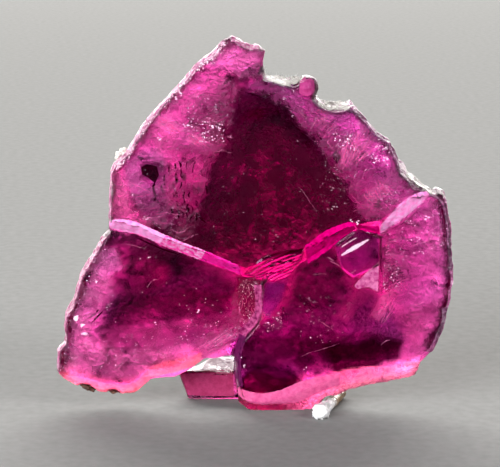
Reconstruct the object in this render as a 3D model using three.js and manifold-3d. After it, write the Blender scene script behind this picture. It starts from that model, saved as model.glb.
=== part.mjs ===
// A broken slab of tourmaline that stands upright on its lower edge.
// The crystal grew as stepped plates: an upper plate stands proud at the front, two lower plates are set back
// under its ledge, and the back swells where the crystal is thickest. A layered lens bulges from the ledge's lowest
// bend, a smooth facet lies under the ledge, and a low foot reaches back from the bottom edge.
// They are one natural piece, so they are joined in one solid. A pale matrix stub lies under the right lobe, and two
// dark matrix flecks cling under the lower left rim.
//
// Units are millimetres. +X is to the right as seen from the front, the front faces -Y, and +Z is up.

import * as THREE from 'three';
import { mergeVertices } from 'three/addons/utils/BufferGeometryUtils.js';
import Module from 'manifold-3d';

// Depths of the plates, front to back
const upperFrontY = -4.1;
const upperLean = 0.035;
const ledgeHeight = 15;
const upperShoulderY = -2.7;
const upperBackY = 1.1;
const lowerLeftFrontY = -2.7;
const lowerLeftShoulderY = -1.5;
const lowerLeftBackY = 1.4;
const lowerRightFrontY = -3.4;
const lowerRightTurn = 0.07;
const lowerRightShoulderY = -1.9;
const lowerRightBackY = 1.9;
const swellDepths = [0.4, 1.3, 3.6, 5.4, 6.3];

// Rear foot
const footDepths = [2.2, 2.5, 5.6, 7.2];
const footRootY = [0.2, 5.2];

// Edges: the front bevel, the back bevel, and how far a plain edge draws in between them
const edgeBevel = 0.3;
const backBevel = 0.8;
const edgeDraw = 0.35;

// Knob on the upper right edge
const knobCentre = [5.1, -2.0, 33.05];
const knobRadii = [1.25, 1.7, 1.2];

// Smooth facet under the ledge: its depth at its middle, and its tilt to the right and upwards
const facetFrontY = -3.05;
const facetMiddle = [8, 16];
const facetTilt = 0.06;
const facetEdge = 1;
const facetRoot = 0.5;

// Layered lens that bulges from the ledge's lowest bend and slopes back towards its foot
const lensTopY = -4.3;
const lensTopZ = 17.1;
const lensSlope = 0.4;
const lensEdge = 0.5;
const lensRoot = 0.5;

// Matrix stub: a rounded tip in front of the lobe, and a thinner shaft that runs back under it
const stubTip = [6.3, -6.1];
const stubLength = 9.4;
const stubTipRadius = 0.88;
const stubShaftRadius = 0.58;
const stubHeading = THREE.MathUtils.degToRad(17);
const stubAxisHeight = 0.55;
const stubSides = 12;

// Matrix flecks: centre, radii and turn
const leftFleck = { centre: [-17.0, -0.9, 2.15], radii: [0.9, 0.7, 0.4], turn: 0.5 };
const rightFleck = { centre: [-14.4, -0.9, 1.75], radii: [0.5, 0.5, 0.3], turn: 0 };

// Space left between pieces that touch
const seatGap = 0.3;

// Outlines run counter-clockwise as seen from the front.
// A row is [x, z, front bevel, rise of the back edge beyond the front edge]. The back edge of a row without widths
// draws in by edgeDraw.
const upperPlate = [
  // the ledge, from the left edge to the right shoulder
  [-14.6, 18.8, 1.2], [-11.8, 18.3, 1.0], [-9.6, 17.2, 1.0], [-7.5, 16.4, 1.1], [-5.4, 15.6, 1.1],
  [-3.3, 14.8, 1.0], [-1.2, 14.0, 1.1], [0.4, 13.7, 2.0], [3.2, 13.8, 2.6], [5.1, 15.1, 1.9],
  [7.5, 16.9, 1.3], [9.5, 18.3, 0.9], [10.5, 18.7, 0.8], [12.6, 18.5, 1.4], [14.6, 19.5, 1.6],
  [16.3, 21.0, 1.7], [17.7, 22.3, 1.4],
  // the right edge, up to the tooth and the knob
  [15.4, 24.0, edgeBevel, 0.5], [14.6, 24.8, edgeBevel, 0.4], [14.0, 26.3], [13.4, 27.7], [12.1, 28.5],
  [10.9, 30.0], [10.1, 30.8], [9.4, 31.2, edgeBevel, 0.3], [8.3, 30.9, edgeBevel, 0.7],
  [7.1, 31.0, edgeBevel, 0.7], [5.9, 32.1], [6.1, 32.9], [5.7, 33.7], [5.0, 34.0], [4.3, 33.8],
  [4.0, 33.3, edgeBevel, 0.6], [2.3, 33.8, edgeBevel, 0.7], [1.0, 34.2, edgeBevel, 0.3],
  // the prong
  [0.8, 35.7], [1.1, 36.7], [0.2, 37.3], [-0.3, 37.1], [-2.4, 38.2], [-3.3, 37.7],
  // the long upper left edge
  [-4.4, 36.4], [-5.8, 35.4], [-7.2, 33.7], [-8.5, 32.4], [-10.3, 30.4], [-11.6, 28.6], [-12.7, 26.7],
  [-14.0, 25.5], [-14.4, 24.6], [-14.5, 22.5], [-14.6, 20.3],
];

const lowerLeftPlate = [
  // the bottom rim and the notch
  [-19.4, 3.1, 0.9], [-18.0, 2.3, 1.3], [-15.8, 1.7, 1.3], [-13.8, 1.5, 1.3], [-12.2, 1.6, 1.2],
  [-10.5, 3.1, 1.2], [-8.1, 3.3, 1.3], [-6.5, 4.1, 1.3], [-5.2, 5.1, 1.2], [-2.7, 5.4, 1.6],
  // hidden behind the right lobe and the ledge
  [1.5, 8.0, 1.0], [3.0, 14.0, 0.5], [-2.0, 18.0, 0.5], [-9.0, 20.0, 0.5], [-14.0, 20.5, 0.5],
  // the left edge
  [-14.6, 18.7], [-15.4, 17.8], [-16.0, 16.6], [-16.8, 15.4], [-17.4, 14.4], [-17.9, 13.0],
  [-18.3, 11.5], [-18.7, 10.7], [-19.2, 9.9], [-19.3, 8.5], [-19.2, 7.1], [-20.0, 6.3], [-20.1, 3.9],
];

const lowerRightPlate = [
  // the lobe and its bottom rim
  [-1.7, 0.8, 0.9], [-0.5, -0.2, 1.4], [1.1, -0.5, 1.6], [3.2, -0.5, 1.9], [5.3, -0.3, 2.4],
  [7.3, 0.9, 2.2], [9.6, 2.0, 1.8], [12.0, 2.6, 1.5], [14.3, 3.0, 1.4], [16.3, 3.5, 1.2],
  // the right edge, up to the shoulder
  [16.7, 4.8, 0.6], [18.1, 6.2, 0.5], [19.0, 8.3, 0.8], [19.6, 11.0, 0.9], [19.9, 13.3, 0.8],
  [19.9, 14.9, 0.5], [19.6, 18.8], [19.2, 21.0], [18.7, 22.1, edgeBevel, 0.5], [17.5, 22.4, edgeBevel, 0.6],
  // hidden behind the upper plate
  [14.0, 24.0], [9.0, 22.0], [4.0, 18.0],
  // the valley and the lobe's left edge
  [0.4, 13.5, 0.5], [0.2, 12.2, 0.5], [0.1, 10.6, 0.5], [-0.2, 9.4, 0.6], [-1.2, 8.6, 0.8], [-1.9, 7.6, 0.7],
  [-2.1, 6.3, 0.5], [-2.2, 4.1, 0.5], [-1.8, 2.0, 0.5],
];

const lensPlate = [
  [-1.0, 14.3, 0.4], [0.3, 13.8, 0.5], [2.0, 13.6, 0.6], [3.3, 14.0, 0.6], [4.2, 14.9, 0.5], [4.9, 16.2, 0.4],
  [4.9, 17.1, 0.3], [3.5, 16.9, 0.4], [1.5, 16.7, 0.4], [0.7, 16.3, 0.4], [-0.3, 15.1, 0.4],
];

const facetPlate = [
  [8.5, 14.7, 0.3], [9.9, 13.6, 0.4], [12.6, 14.9, 0.3], [12.8, 18.0, 0.3], [10.4, 19.2, 0.3], [7.9, 17.3, 0.4],
];

// The swelling back is lofted through these outlines, each at its depth in swellDepths.
const swellOutlines = [
  [
    [-17.2, 5.4], [-7.2, 6.0], [-2.0, 6.2], [-1.0, 1.0], [7.0, 1.5], [15.8, 4.2], [18.8, 12.5], [17.4, 21.0],
    [12.6, 27.2], [5.2, 32.8], [-2.0, 36.4], [-8.4, 32.0], [-13.4, 25.2], [-15.9, 15.6],
  ],
  [
    [-15.6, 6.6], [-7.4, 6.9], [-2.2, 6.8], [-0.6, 2.0], [7.0, 2.2], [14.8, 5.0], [17.4, 12.5], [16.2, 20.4],
    [11.6, 26.4], [5.0, 31.8], [-1.6, 34.8], [-6.4, 30.4], [-9.8, 24.0], [-14.2, 15.8],
  ],
  [
    [-12.2, 9.2], [-7.8, 8.8], [-3.0, 8.8], [0.6, 4.8], [6.8, 4.2], [12.6, 6.8], [14.4, 12.6], [13.4, 19.0],
    [9.8, 24.8], [4.4, 29.6], [-0.4, 31.4], [-3.6, 27.4], [-5.6, 21.2], [-10.8, 16.2],
  ],
  [
    [-9.6, 11.2], [-7.2, 10.8], [-3.4, 10.8], [1.8, 7.2], [6.6, 6.6], [10.2, 8.6], [11.4, 12.8], [10.4, 17.8],
    [7.8, 22.6], [4.2, 26.6], [0.8, 27.8], [-1.0, 24.6], [-2.8, 19.2], [-8.0, 15.0],
  ],
  [
    [-6.8, 12.8], [-5.8, 12.4], [-3.0, 12.4], [2.6, 9.8], [6.0, 9.4], [7.8, 10.6], [8.2, 13.2], [7.6, 16.8],
    [5.8, 20.0], [3.8, 23.0], [2.0, 23.6], [0.8, 21.6], [-1.4, 17.4], [-5.8, 14.4],
  ],
];

// The foot is lofted through these outlines, each at its depth in footDepths.
const footOutlines = [
  [[-6.6, -0.4], [3.4, -0.4], [3.4, 2.3], [-1.0, 2.8], [-3.5, 2.7], [-5.6, 2.9], [-7.8, 2.8]],
  [[-6.8, -0.4], [3.6, -0.4], [3.6, 2.4], [-1.0, 2.9], [-3.5, 2.8], [-5.6, 3.0], [-8.0, 2.9]],
  [[-6.0, -0.4], [4.4, -0.4], [4.0, 2.6], [-0.6, 3.5], [-2.8, 3.6], [-4.6, 3.6], [-5.8, 2.8]],
  [[-4.4, -0.4], [2.6, -0.4], [2.0, 1.8], [-0.4, 2.9], [-2.6, 3.2], [-4.0, 3.1], [-4.8, 2.2]],
];

// Where the foot grows out of the back of the lobe
const footRoot = [
  [-1.4, -0.4], [3.6, -0.4], [4.4, 3.4], [-0.6, 3.6],
];

const crystal = new THREE.MeshStandardMaterial({ color: 0x9c1a62, roughness: 0.12, metalness: 0 });
const paleStone = new THREE.MeshStandardMaterial({ color: 0xcfcac2, roughness: 0.45, metalness: 0 });
const darkStone = new THREE.MeshStandardMaterial({ color: 0x3a2620, roughness: 0.8, metalness: 0 });

const wasm = await Module();
wasm.setup();

// Turns a closed geometry into a solid that can be joined and cut.
function toSolid(geometry) {
  const bare = geometry.index ? geometry.toNonIndexed() : geometry.clone();
  bare.deleteAttribute('normal');
  bare.deleteAttribute('uv');
  const merged = mergeVertices(bare, 1e-4);
  return new wasm.Manifold(new wasm.Mesh({
    numProp: 3,
    vertProperties: new Float32Array(merged.attributes.position.array),
    triVerts: new Uint32Array(merged.index.array),
  }));
}

// Turns a solid back into a geometry with flat facets.
function toGeometry(solid) {
  const mesh = solid.getMesh();
  const indexed = new THREE.BufferGeometry();
  indexed.setAttribute('position', new THREE.BufferAttribute(mesh.vertProperties, 3));
  indexed.setIndex(new THREE.BufferAttribute(mesh.triVerts, 1));
  const geometry = indexed.toNonIndexed();
  geometry.computeVertexNormals();
  return geometry;
}

// Moves each point of an outline inwards by its own width.
function inset(outline, widths) {
  return outline.map((point, i) => {
    const before = outline.at(i - 1);
    const after = outline[(i + 1) % outline.length];
    const along = after.clone().sub(before).normalize();
    return new THREE.Vector2(point.x - along.y * widths[i], point.y + along.x * widths[i]);
  });
}

// Lofts a closed solid through outlines of equal length, front to back. A ring's y may be a function of x and z.
function loft(rings) {
  const count = rings[0].points.length;
  const last = rings.length - 1;
  const corners = [];
  for (const { points, y } of rings) {
    for (const point of points) {
      const depth = typeof y === 'function' ? y(point.x, point.y) : y;
      corners.push(point.x, depth, point.y);
    }
  }
  const triangles = [];
  for (const [a, b, c] of THREE.ShapeUtils.triangulateShape(rings[0].points, [])) {
    triangles.push(a, b, c);
  }
  for (const [a, b, c] of THREE.ShapeUtils.triangulateShape(rings[last].points, [])) {
    triangles.push(last * count + a, last * count + c, last * count + b);
  }
  for (let ring = 0; ring < last; ring += 1) {
    for (let i = 0; i < count; i += 1) {
      const j = (i + 1) % count;
      const front = ring * count;
      const back = front + count;
      triangles.push(front + i, back + i, back + j, front + i, back + j, front + j);
    }
  }
  const geometry = new THREE.BufferGeometry();
  geometry.setAttribute('position', new THREE.Float32BufferAttribute(corners, 3));
  geometry.setIndex(triangles);
  return toSolid(geometry);
}

function toPoints(rows) {
  return rows.map(([x, z]) => new THREE.Vector2(x, z));
}

// A crystal plate has a front face, its shoulder, a back shoulder and a back face.
function plate(rows, { frontY, shoulderY, backShoulderY, backY, bevel = edgeBevel, rearEdge = backBevel }) {
  const outline = toPoints(rows);
  const frontBevels = rows.map(([, , width]) => width ?? bevel);
  const draws = rows.map(([, , width, rise]) => -(rise ?? (width === undefined ? -edgeDraw : 0)));
  return loft([
    { points: inset(outline, frontBevels), y: frontY },
    { points: outline, y: shoulderY },
    { points: inset(outline, draws), y: backShoulderY },
    { points: inset(outline, rows.map(() => rearEdge)), y: backY },
  ]);
}

// A box from its lowest and highest corners.
function block(low, high) {
  const geometry = new THREE.BoxGeometry(high[0] - low[0], high[1] - low[1], high[2] - low[2]);
  geometry.translate((low[0] + high[0]) / 2, (low[1] + high[1]) / 2, (low[2] + high[2]) / 2);
  return toSolid(geometry);
}

// A faceted pebble with the given radii, turned about the front to back axis.
function pebble(centre, radii, turn = 0) {
  const geometry = new THREE.IcosahedronGeometry(1, 1);
  geometry.scale(...radii);
  geometry.rotateY(turn);
  geometry.translate(...centre);
  return toSolid(geometry);
}

// A matrix fleck, grown by a clearance on every side.
function fleck({ centre, radii, turn }, clearance = 0) {
  return pebble(centre, radii.map((radius) => radius + clearance), turn);
}

// The stub's body of revolution, grown by a clearance on every side.
function stubBody(clearance) {
  const tip = stubTipRadius + clearance;
  const shaft = stubShaftRadius + clearance;
  const start = -clearance;
  const end = stubLength + clearance;
  const profile = [
    [0, start], [tip * 0.62, start + 0.12], [tip * 0.93, start + 0.5], [tip, 1.1], [tip * 0.9, 1.9],
    [shaft, 3.2], [shaft, end - 0.5], [shaft * 0.6, end], [0, end],
  ].map(([radius, along]) => new THREE.Vector2(radius, along));
  const geometry = new THREE.LatheGeometry(profile, stubSides);
  geometry.rotateZ(-stubHeading);
  geometry.translate(stubTip[0], stubTip[1], stubAxisHeight);
  return toSolid(geometry);
}

const belowGround = block([-30, -30, -10], [30, 30, 0]);

function buildSlab() {
  const upper = plate(upperPlate, {
    frontY: (x, z) => upperFrontY + upperLean * (z - ledgeHeight),
    shoulderY: upperShoulderY,
    backShoulderY: upperBackY - backBevel,
    backY: upperBackY,
  });
  const lowerLeft = plate(lowerLeftPlate, {
    frontY: lowerLeftFrontY,
    shoulderY: lowerLeftShoulderY,
    backShoulderY: lowerLeftBackY - backBevel,
    backY: lowerLeftBackY,
  });
  const lowerRight = plate(lowerRightPlate, {
    frontY: (x) => lowerRightFrontY + lowerRightTurn * Math.max(x, 0),
    shoulderY: lowerRightShoulderY,
    backShoulderY: lowerRightBackY - backBevel,
    backY: lowerRightBackY,
  });
  const facet = plate(facetPlate, {
    frontY: (x, z) => facetFrontY + facetTilt * (x - facetMiddle[0] - z + facetMiddle[1]),
    shoulderY: lowerRightFrontY + facetEdge,
    backShoulderY: lowerRightShoulderY,
    backY: lowerRightShoulderY + facetRoot,
    rearEdge: 0,
  });
  const lens = plate(lensPlate, {
    frontY: (x, z) => lensTopY + lensSlope * (lensTopZ - z),
    shoulderY: (x, z) => lensTopY + lensEdge + lensSlope * (lensTopZ - z),
    backShoulderY: upperShoulderY + lensRoot / 2,
    backY: upperShoulderY + lensRoot,
    rearEdge: 0,
  });
  const swell = loft(swellOutlines.map((rows, i) => ({ points: toPoints(rows), y: swellDepths[i] })));
  const footBlock = loft(footOutlines.map((rows, i) => ({ points: toPoints(rows), y: footDepths[i] })));
  const footJoin = plate(footRoot, {
    frontY: footRootY[0],
    shoulderY: footRootY[0] + 0.2,
    backShoulderY: footRootY[1] - 0.8,
    backY: footRootY[1],
  });
  const parts = [
    lowerLeft,
    lowerRight,
    facet,
    lens,
    swell,
    footBlock,
    footJoin,
    pebble(knobCentre, knobRadii),
  ];
  const joined = parts.reduce((solid, part) => solid.add(part), upper);
  const seats = [stubBody(seatGap), fleck(leftFleck, seatGap), fleck(rightFleck, seatGap)];
  return seats.reduce((solid, seat) => solid.subtract(seat), joined.subtract(belowGround));
}

function named(name, solid, material) {
  const mesh = new THREE.Mesh(toGeometry(solid), material);
  mesh.name = name;
  return mesh;
}

const specimen = new THREE.Group();
specimen.add(
  named('tourmaline_slab', buildSlab(), crystal),
  named('matrix_stub', stubBody(0).subtract(belowGround), paleStone),
  named('matrix_fleck_left', fleck(leftFleck), darkStone),
  named('matrix_fleck_right', fleck(rightFleck), darkStone),
);

// The origin lies on the ground, under the middle of the specimen.
const box = new THREE.Box3().setFromObject(specimen);
specimen.position.set(-(box.min.x + box.max.x) / 2, -(box.min.y + box.max.y) / 2, -box.min.z);

export default specimen;
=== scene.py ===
"""A broken slab of pink-red tourmaline, standing upright in soft back light.

The scene is in metres. Mesh work is done in millimetres and scaled down when a piece is finished.
An outline given as pixels is a place on the photographed face: (across, down) in a 500 x 467 frame.
"""

import math
import random

import bmesh
import bpy
import numpy as np
from mathutils import Matrix, Vector, noise
from mathutils.bvhtree import BVHTree
from mathutils.kdtree import KDTree


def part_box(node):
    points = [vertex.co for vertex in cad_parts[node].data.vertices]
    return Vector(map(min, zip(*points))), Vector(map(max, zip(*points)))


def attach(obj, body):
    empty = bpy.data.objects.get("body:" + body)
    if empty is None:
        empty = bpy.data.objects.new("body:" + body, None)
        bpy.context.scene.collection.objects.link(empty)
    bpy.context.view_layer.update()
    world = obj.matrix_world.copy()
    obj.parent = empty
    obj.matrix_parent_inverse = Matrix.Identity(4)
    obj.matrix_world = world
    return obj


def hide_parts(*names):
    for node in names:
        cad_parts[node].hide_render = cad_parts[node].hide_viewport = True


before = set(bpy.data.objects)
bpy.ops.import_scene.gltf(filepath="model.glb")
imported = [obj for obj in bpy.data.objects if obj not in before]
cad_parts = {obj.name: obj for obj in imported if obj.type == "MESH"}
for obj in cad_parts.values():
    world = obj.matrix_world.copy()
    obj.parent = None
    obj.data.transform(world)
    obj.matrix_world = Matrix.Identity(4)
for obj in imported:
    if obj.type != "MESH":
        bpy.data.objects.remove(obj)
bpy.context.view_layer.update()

MM = 0.001

# Camera: the photograph's angle. PIXELS_PER_MM holds at the target's distance.
IMAGE_CENTRE = (250.0, 233.5)
IMAGE_WIDTH = 500.0
PIXELS_PER_MM = 9.9
SENSOR_WIDTH = 36.0
CAMERA_ELEVATION = math.radians(11.0)
CAMERA_DISTANCE = 240.0
CAMERA_TARGET = Vector((-0.4, -0.53, 17.82))

# Depths, in millimetres, of the slab's three front faces
UPPER_FRONT = -4.63
LOWER_LEFT_FRONT = -3.23
LOWER_RIGHT_FRONT = -3.93

VOXEL = 0.24
FOOT_TINT = (0.9, 0.6, 0.62)
BODY_TINT = (1.0, 0.5, 0.76)
CRYSTAL_IOR = 1.63
CRYSTAL_GLOSS = (0.5, 0.25, 0.4, 1.0)
CRYSTAL_ABSORPTION = (0.72, 0.0, 0.5, 1.0)
CRYSTAL_DENSITY = 620.0

# Colour zones and clouded places of the crystal, from the photographed face: name, depth of the face,
# outline in pixels, feather in millimetres, tint, and how frosted the front surface is (0 to 1).
# Some tints below are painted shade or painted light, as marked.
ZONES = [
    ("prong", UPPER_FRONT,
     [(200, 66), (230, 36), (266, 46), (264, 78), (240, 82), (222, 70)],
     0.8, (0.88, 0.8, 0.8), 0.7),
    ("crown", UPPER_FRONT,
     [(150, 115), (185, 80), (215, 70), (242, 82), (240, 100), (234, 128), (228, 150), (210, 168),
      (180, 158), (150, 145), (130, 150), (140, 130)],
     1.0, (0.7, 0.43, 0.56), 0.62),
    ("left_violet", UPPER_FRONT,
     [(122, 168), (150, 150), (180, 158), (207, 170), (204, 200), (196, 232), (180, 238), (150, 222),
      (132, 205)],
     1.0, (0.54, 0.52, 0.55), 0.62),
    ("left_margin", UPPER_FRONT,
     [(104, 175), (120, 170), (126, 190), (132, 210), (150, 225), (130, 234), (104, 226)],
     0.8, (1.0, 0.88, 0.78), 0.9),
    ("upper_right", UPPER_FRONT,
     [(262, 76), (300, 80), (322, 96), (345, 108), (368, 118), (388, 135), (402, 165), (408, 182),
      (380, 218), (356, 218), (344, 192), (330, 170), (314, 148), (299, 128), (284, 112), (262, 101),
      (243, 100), (243, 84)],
     0.9, (1.0, 0.62, 1.0), 0.7),
    ("shoulder", UPPER_FRONT,
     [(378, 186), (394, 166), (408, 172), (438, 190), (434, 198), (414, 198), (398, 208), (382, 222),
      (366, 216)],
     0.8, (1.0, 1.0, 1.0), 0.95),
    ("core", UPPER_FRONT,
     [(247, 93), (258, 98), (273, 104), (286, 113), (299, 128), (314, 148), (330, 170), (343, 190),
      (356, 210), (350, 219), (330, 232), (300, 247), (270, 252), (246, 264), (215, 252), (194, 241),
      (194, 222), (201, 200), (206, 180), (213, 164), (226, 150), (233, 130), (237, 114), (240, 102)],
     3.0, (0.66, 0.1, 0.45), 0.0),
    ("knob", UPPER_FRONT,
     [(295, 92), (297, 77), (308, 72), (320, 82), (319, 96), (306, 98)],
     0.4, (1.0, 0.4, 0.75), 0.3),
    ("tube_ground", UPPER_FRONT,
     [(165, 158), (207, 170), (204, 200), (196, 234), (176, 236), (168, 205)],
     1.0, (0.85, 0.46, 0.65), 0.5),
    ("curved_veil", UPPER_FRONT,
     [(154, 113), (175, 121), (196, 135), (218, 147), (214, 154), (190, 147), (170, 134), (152, 122)],
     0.5, (1.0, 0.9, 0.9), 0.9),
    ("top_edge", UPPER_FRONT,
     [(262, 68), (300, 66), (322, 88), (352, 98), (388, 128), (408, 165), (446, 192), (446, 203),
      (402, 178), (384, 142), (350, 110), (318, 106), (300, 84), (262, 82)],
     0.25, (0.35, 0.1, 0.22), 0.42),
    ("left_edge", UPPER_FRONT,
     [(110, 168), (135, 130), (165, 93), (193, 63), (221, 38), (232, 32), (268, 44), (266, 52),
      (232, 41), (224, 47), (199, 69), (172, 98), (142, 136), (116, 172)],
     0.25, (0.55, 0.24, 0.4), 0.6),
    ("fan_veil", UPPER_FRONT,
     [(344, 172), (351, 145), (360, 124), (376, 130), (368, 150), (352, 176)],
     0.5, (1.0, 0.8, 1.0), 0.9),
    ("lower_left_margin", LOWER_LEFT_FRONT,
     [(104, 240), (122, 262), (116, 288), (100, 312), (88, 338), (60, 338), (72, 290), (86, 262)],
     0.8, (0.82, 0.6, 0.67), 0.6),
    ("lower_left_cloud", LOWER_LEFT_FRONT,
     [(62, 338), (90, 345), (130, 340), (170, 328), (235, 318), (205, 350), (160, 364), (137, 384),
      (70, 380)],
     1.0, (0.62, 0.42, 0.47), 0.5),
    ("lower_left_dark", LOWER_LEFT_FRONT,
     [(112, 238), (140, 238), (180, 256), (225, 274), (242, 284), (240, 314), (205, 322), (165, 322),
      (120, 330), (96, 334), (102, 312), (118, 288), (122, 268), (108, 250)],
     1.3, (0.16, 0.07, 0.15), 0.05),
    ("lower_left_wine", LOWER_LEFT_FRONT,
     [(108, 244), (140, 240), (165, 250), (168, 285), (122, 298), (110, 272)],
     1.2, (0.6, 0.09, 0.36), 0.25),
    # Painted shade: a darker tint that holds down the back light's glow in the lower left.
    ("lower_left_deep", LOWER_LEFT_FRONT,
     [(118, 300), (168, 292), (236, 292), (238, 312), (205, 322), (165, 326), (120, 332), (98, 332)],
     1.2, (0.09, 0.014, 0.056), 0.05),
    ("cloud_top", LOWER_LEFT_FRONT,
     [(98, 332), (165, 322), (238, 312), (234, 330), (205, 344), (165, 350), (125, 352), (100, 346)],
     0.8, (0.2, 0.07, 0.135), 0.4),
    ("cloud_corner", LOWER_LEFT_FRONT,
     [(54, 336), (96, 342), (104, 358), (96, 374), (56, 374)],
     0.8, (0.85, 0.62, 0.68), 0.6),
    ("fuzzy_patch", LOWER_LEFT_FRONT,
     [(92, 254), (114, 250), (120, 268), (102, 276), (86, 268)],
     0.6, (1.0, 0.9, 0.9), 1.0),
    ("right_region", LOWER_RIGHT_FRONT,
     [(383, 235), (420, 192), (446, 205), (452, 275), (446, 330), (422, 358), (408, 330), (392, 300),
      (381, 275)],
     0.9, (0.6, 0.35, 0.5), 0.5),
    ("lobe_dark", LOWER_RIGHT_FRONT,
     [(238, 345), (262, 325), (290, 300), (300, 266), (330, 252), (345, 278), (356, 292), (385, 304),
      (412, 330), (408, 355), (380, 368), (340, 372), (300, 380), (270, 388), (243, 386), (236, 365)],
     1.2, (0.2, 0.1, 0.2), 0.05),
    ("lobe_wine", LOWER_RIGHT_FRONT,
     [(294, 268), (330, 252), (345, 278), (338, 302), (310, 312), (288, 296)],
     1.2, (0.33, 0.075, 0.27), 0.15),
    # Painted shade: a darker tint that holds down the back light's glow in the lobe's lower middle.
    ("lobe_deep", LOWER_RIGHT_FRONT,
     [(248, 344), (262, 343), (300, 338), (345, 342), (388, 344), (412, 344), (406, 356), (380, 370),
      (340, 376), (300, 374), (262, 360)],
     1.2, (0.05, 0.013, 0.035), 0.05),
    # Painted shade: a still darker tint at the bottom of the lobe.
    ("lobe_low", LOWER_RIGHT_FRONT,
     [(326, 346), (388, 342), (412, 346), (404, 360), (380, 371), (332, 376)],
     0.8, (0.016, 0.001, 0.007), 0.02),
    # Painted light: a lighter tint where the rear foot keeps the back light from the lobe's base.
    ("lobe_base", LOWER_RIGHT_FRONT,
     [(236, 370), (262, 368), (292, 372), (300, 378), (270, 390), (240, 390)],
     0.5, (1.0, 0.4, 0.95), 0.12),
    ("lobe_corner", LOWER_RIGHT_FRONT,
     [(232, 340), (262, 336), (290, 346), (298, 368), (262, 370), (236, 370)],
     0.8, (0.1, 0.045, 0.08), 0.12),
    ("right_low", LOWER_RIGHT_FRONT,
     [(392, 318), (420, 312), (450, 300), (448, 332), (426, 362), (404, 362), (408, 340)],
     0.8, (0.4, 0.18, 0.29), 0.5),
    ("lobe_edge", LOWER_RIGHT_FRONT,
     [(254, 282), (262, 284), (261, 315), (242, 336), (238, 356), (241, 388), (232, 388), (230, 355),
      (236, 332), (254, 310)],
     0.3, (1.0, 0.26, 0.95), 0.1),
    ("flake_pane", UPPER_FRONT,
     [(139, 163), (160, 163), (161, 180), (153, 188), (140, 178)],
     0.2, (0.7, 0.5, 0.65), 0.05),
    ("violet_flat", LOWER_RIGHT_FRONT,
     [(257, 283), (290, 281), (284, 298), (270, 318), (259, 312)],
     0.5, (0.36, 0.46, 0.64), 0.3),
    ("violet_facet", LOWER_RIGHT_FRONT,
     [(335, 244), (358, 232), (379, 239), (380, 266), (354, 280), (341, 266)],
     0.2, (0.52, 0.33, 0.6), 0.25),
    ("pale_triangle", LOWER_RIGHT_FRONT,
     [(353, 288), (380, 262), (377, 292)],
     0.4, (0.37, 0.09, 0.2), 0.9),
    ("magenta_band", LOWER_RIGHT_FRONT,
     [(333, 318), (362, 286), (374, 292), (346, 324)],
     0.6, (0.46, 0.3, 0.38), 0.4),
    ("pink_streak", LOWER_RIGHT_FRONT,
     [(370, 318), (388, 292), (398, 292), (380, 322)],
     0.5, (0.74, 0.48, 0.55), 0.8),
    ("valley", LOWER_LEFT_FRONT,
     [(238, 276), (258, 280), (262, 318), (240, 335), (205, 360), (182, 368), (196, 346), (230, 318)],
     0.6, (0.42, 0.21, 0.29), 0.9),
    ("valley_top", LOWER_RIGHT_FRONT,
     [(236, 276), (264, 281), (263, 312), (252, 324), (238, 320)],
     0.6, (0.24, 0.04, 0.13), 0.5),
    ("left_rim", LOWER_LEFT_FRONT,
     [(60, 370), (80, 379), (110, 383), (137, 382), (150, 369), (162, 363), (200, 354), (200, 366),
      (150, 380), (135, 400), (60, 400)],
     0.25, (0.84, 0.5, 0.29), 1.0),
    ("right_rim", LOWER_RIGHT_FRONT,
     [(236, 388), (255, 396), (285, 393), (300, 383), (330, 376), (350, 372), (400, 367), (424, 362),
      (424, 400), (230, 425)],
     0.25, (0.96, 0.76, 0.54), 1.0),
]

# How far the shards of the broken back lean towards the window, by zone
BACK_LEAN = {"upper_right": 0.3, "fan_veil": 0.3, "shoulder": 0.35, "tube_ground": 0.3}

# Places where the slab's edge is glassy, not frosted
GLASSY_EDGES = ("lobe_edge",)

# The lens: a bulge of thin curved layers at the ledge's lowest bend
LENS = [(243, 277), (250, 268), (262, 257), (275, 253), (290, 251), (305, 248), (303, 260), (297, 270),
        (288, 280), (274, 284), (257, 282)]
LENS_LAYERS = 7
LENS_HEIGHT = 0.25
LAYER_STEP = 0.16
LENS_DARK = (0.5, 0.1, 0.3)

# Runs of pixels where the front has crisp edges, their depth, and how far from them the mesh is fine
CREASES = [
    ([(106, 226), (136, 228), (243, 272), (275, 284), (303, 268), (352, 228), (381, 230), (440, 194)],
     UPPER_FRONT, 1.1),
    ([(258, 284), (257, 312), (238, 334), (234, 356), (238, 386)], LOWER_RIGHT_FRONT, 0.6),
    ([(336, 244), (358, 232), (379, 239), (380, 266), (354, 280), (336, 262), (336, 244)], LOWER_RIGHT_FRONT, 0.5),
]

# Dark bodies sealed in the crystal: a flake with a stem, and the growth tubes round it
DARK_FLAKE = [(141, 167), (147, 164), (157, 166), (159, 175), (155, 183), (149, 178), (142, 174)]
DARK_STEM = [(155, 182), (153, 189), (156, 196), (154, 201)]
SMALL_DARK_FLAKES = [[(138, 155), (144, 158), (141, 161)], [(376, 199), (380, 198), (380, 206), (376, 205)],
                     [(333, 152), (338, 149), (341, 157), (337, 163), (333, 158)]]
TUBE_FIELD = [(160, 180), (172, 152), (186, 150), (200, 165), (206, 185), (200, 210), (186, 222), (168, 206)]
TUBE_COUNT = 46
SEALED_DEPTH = 0.35

# Dark slits, as runs of pixels
DARK_SLITS = [
    [(298, 108), (304, 115), (309, 123), (314, 130)], [(316, 132), (322, 139), (329, 146)],
    [(262, 267), (272, 265), (286, 262)], [(270, 262), (285, 261), (299, 260)],
    [(258, 274), (272, 272), (288, 269)], [(245, 92), (262, 96), (275, 93)],
    [(92, 322), (97, 317), (103, 311)], [(88, 318), (94, 314), (99, 309)],
    [(381, 237), (380, 250), (381, 272)], [(136, 237), (158, 247), (181, 255)],
]
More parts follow.
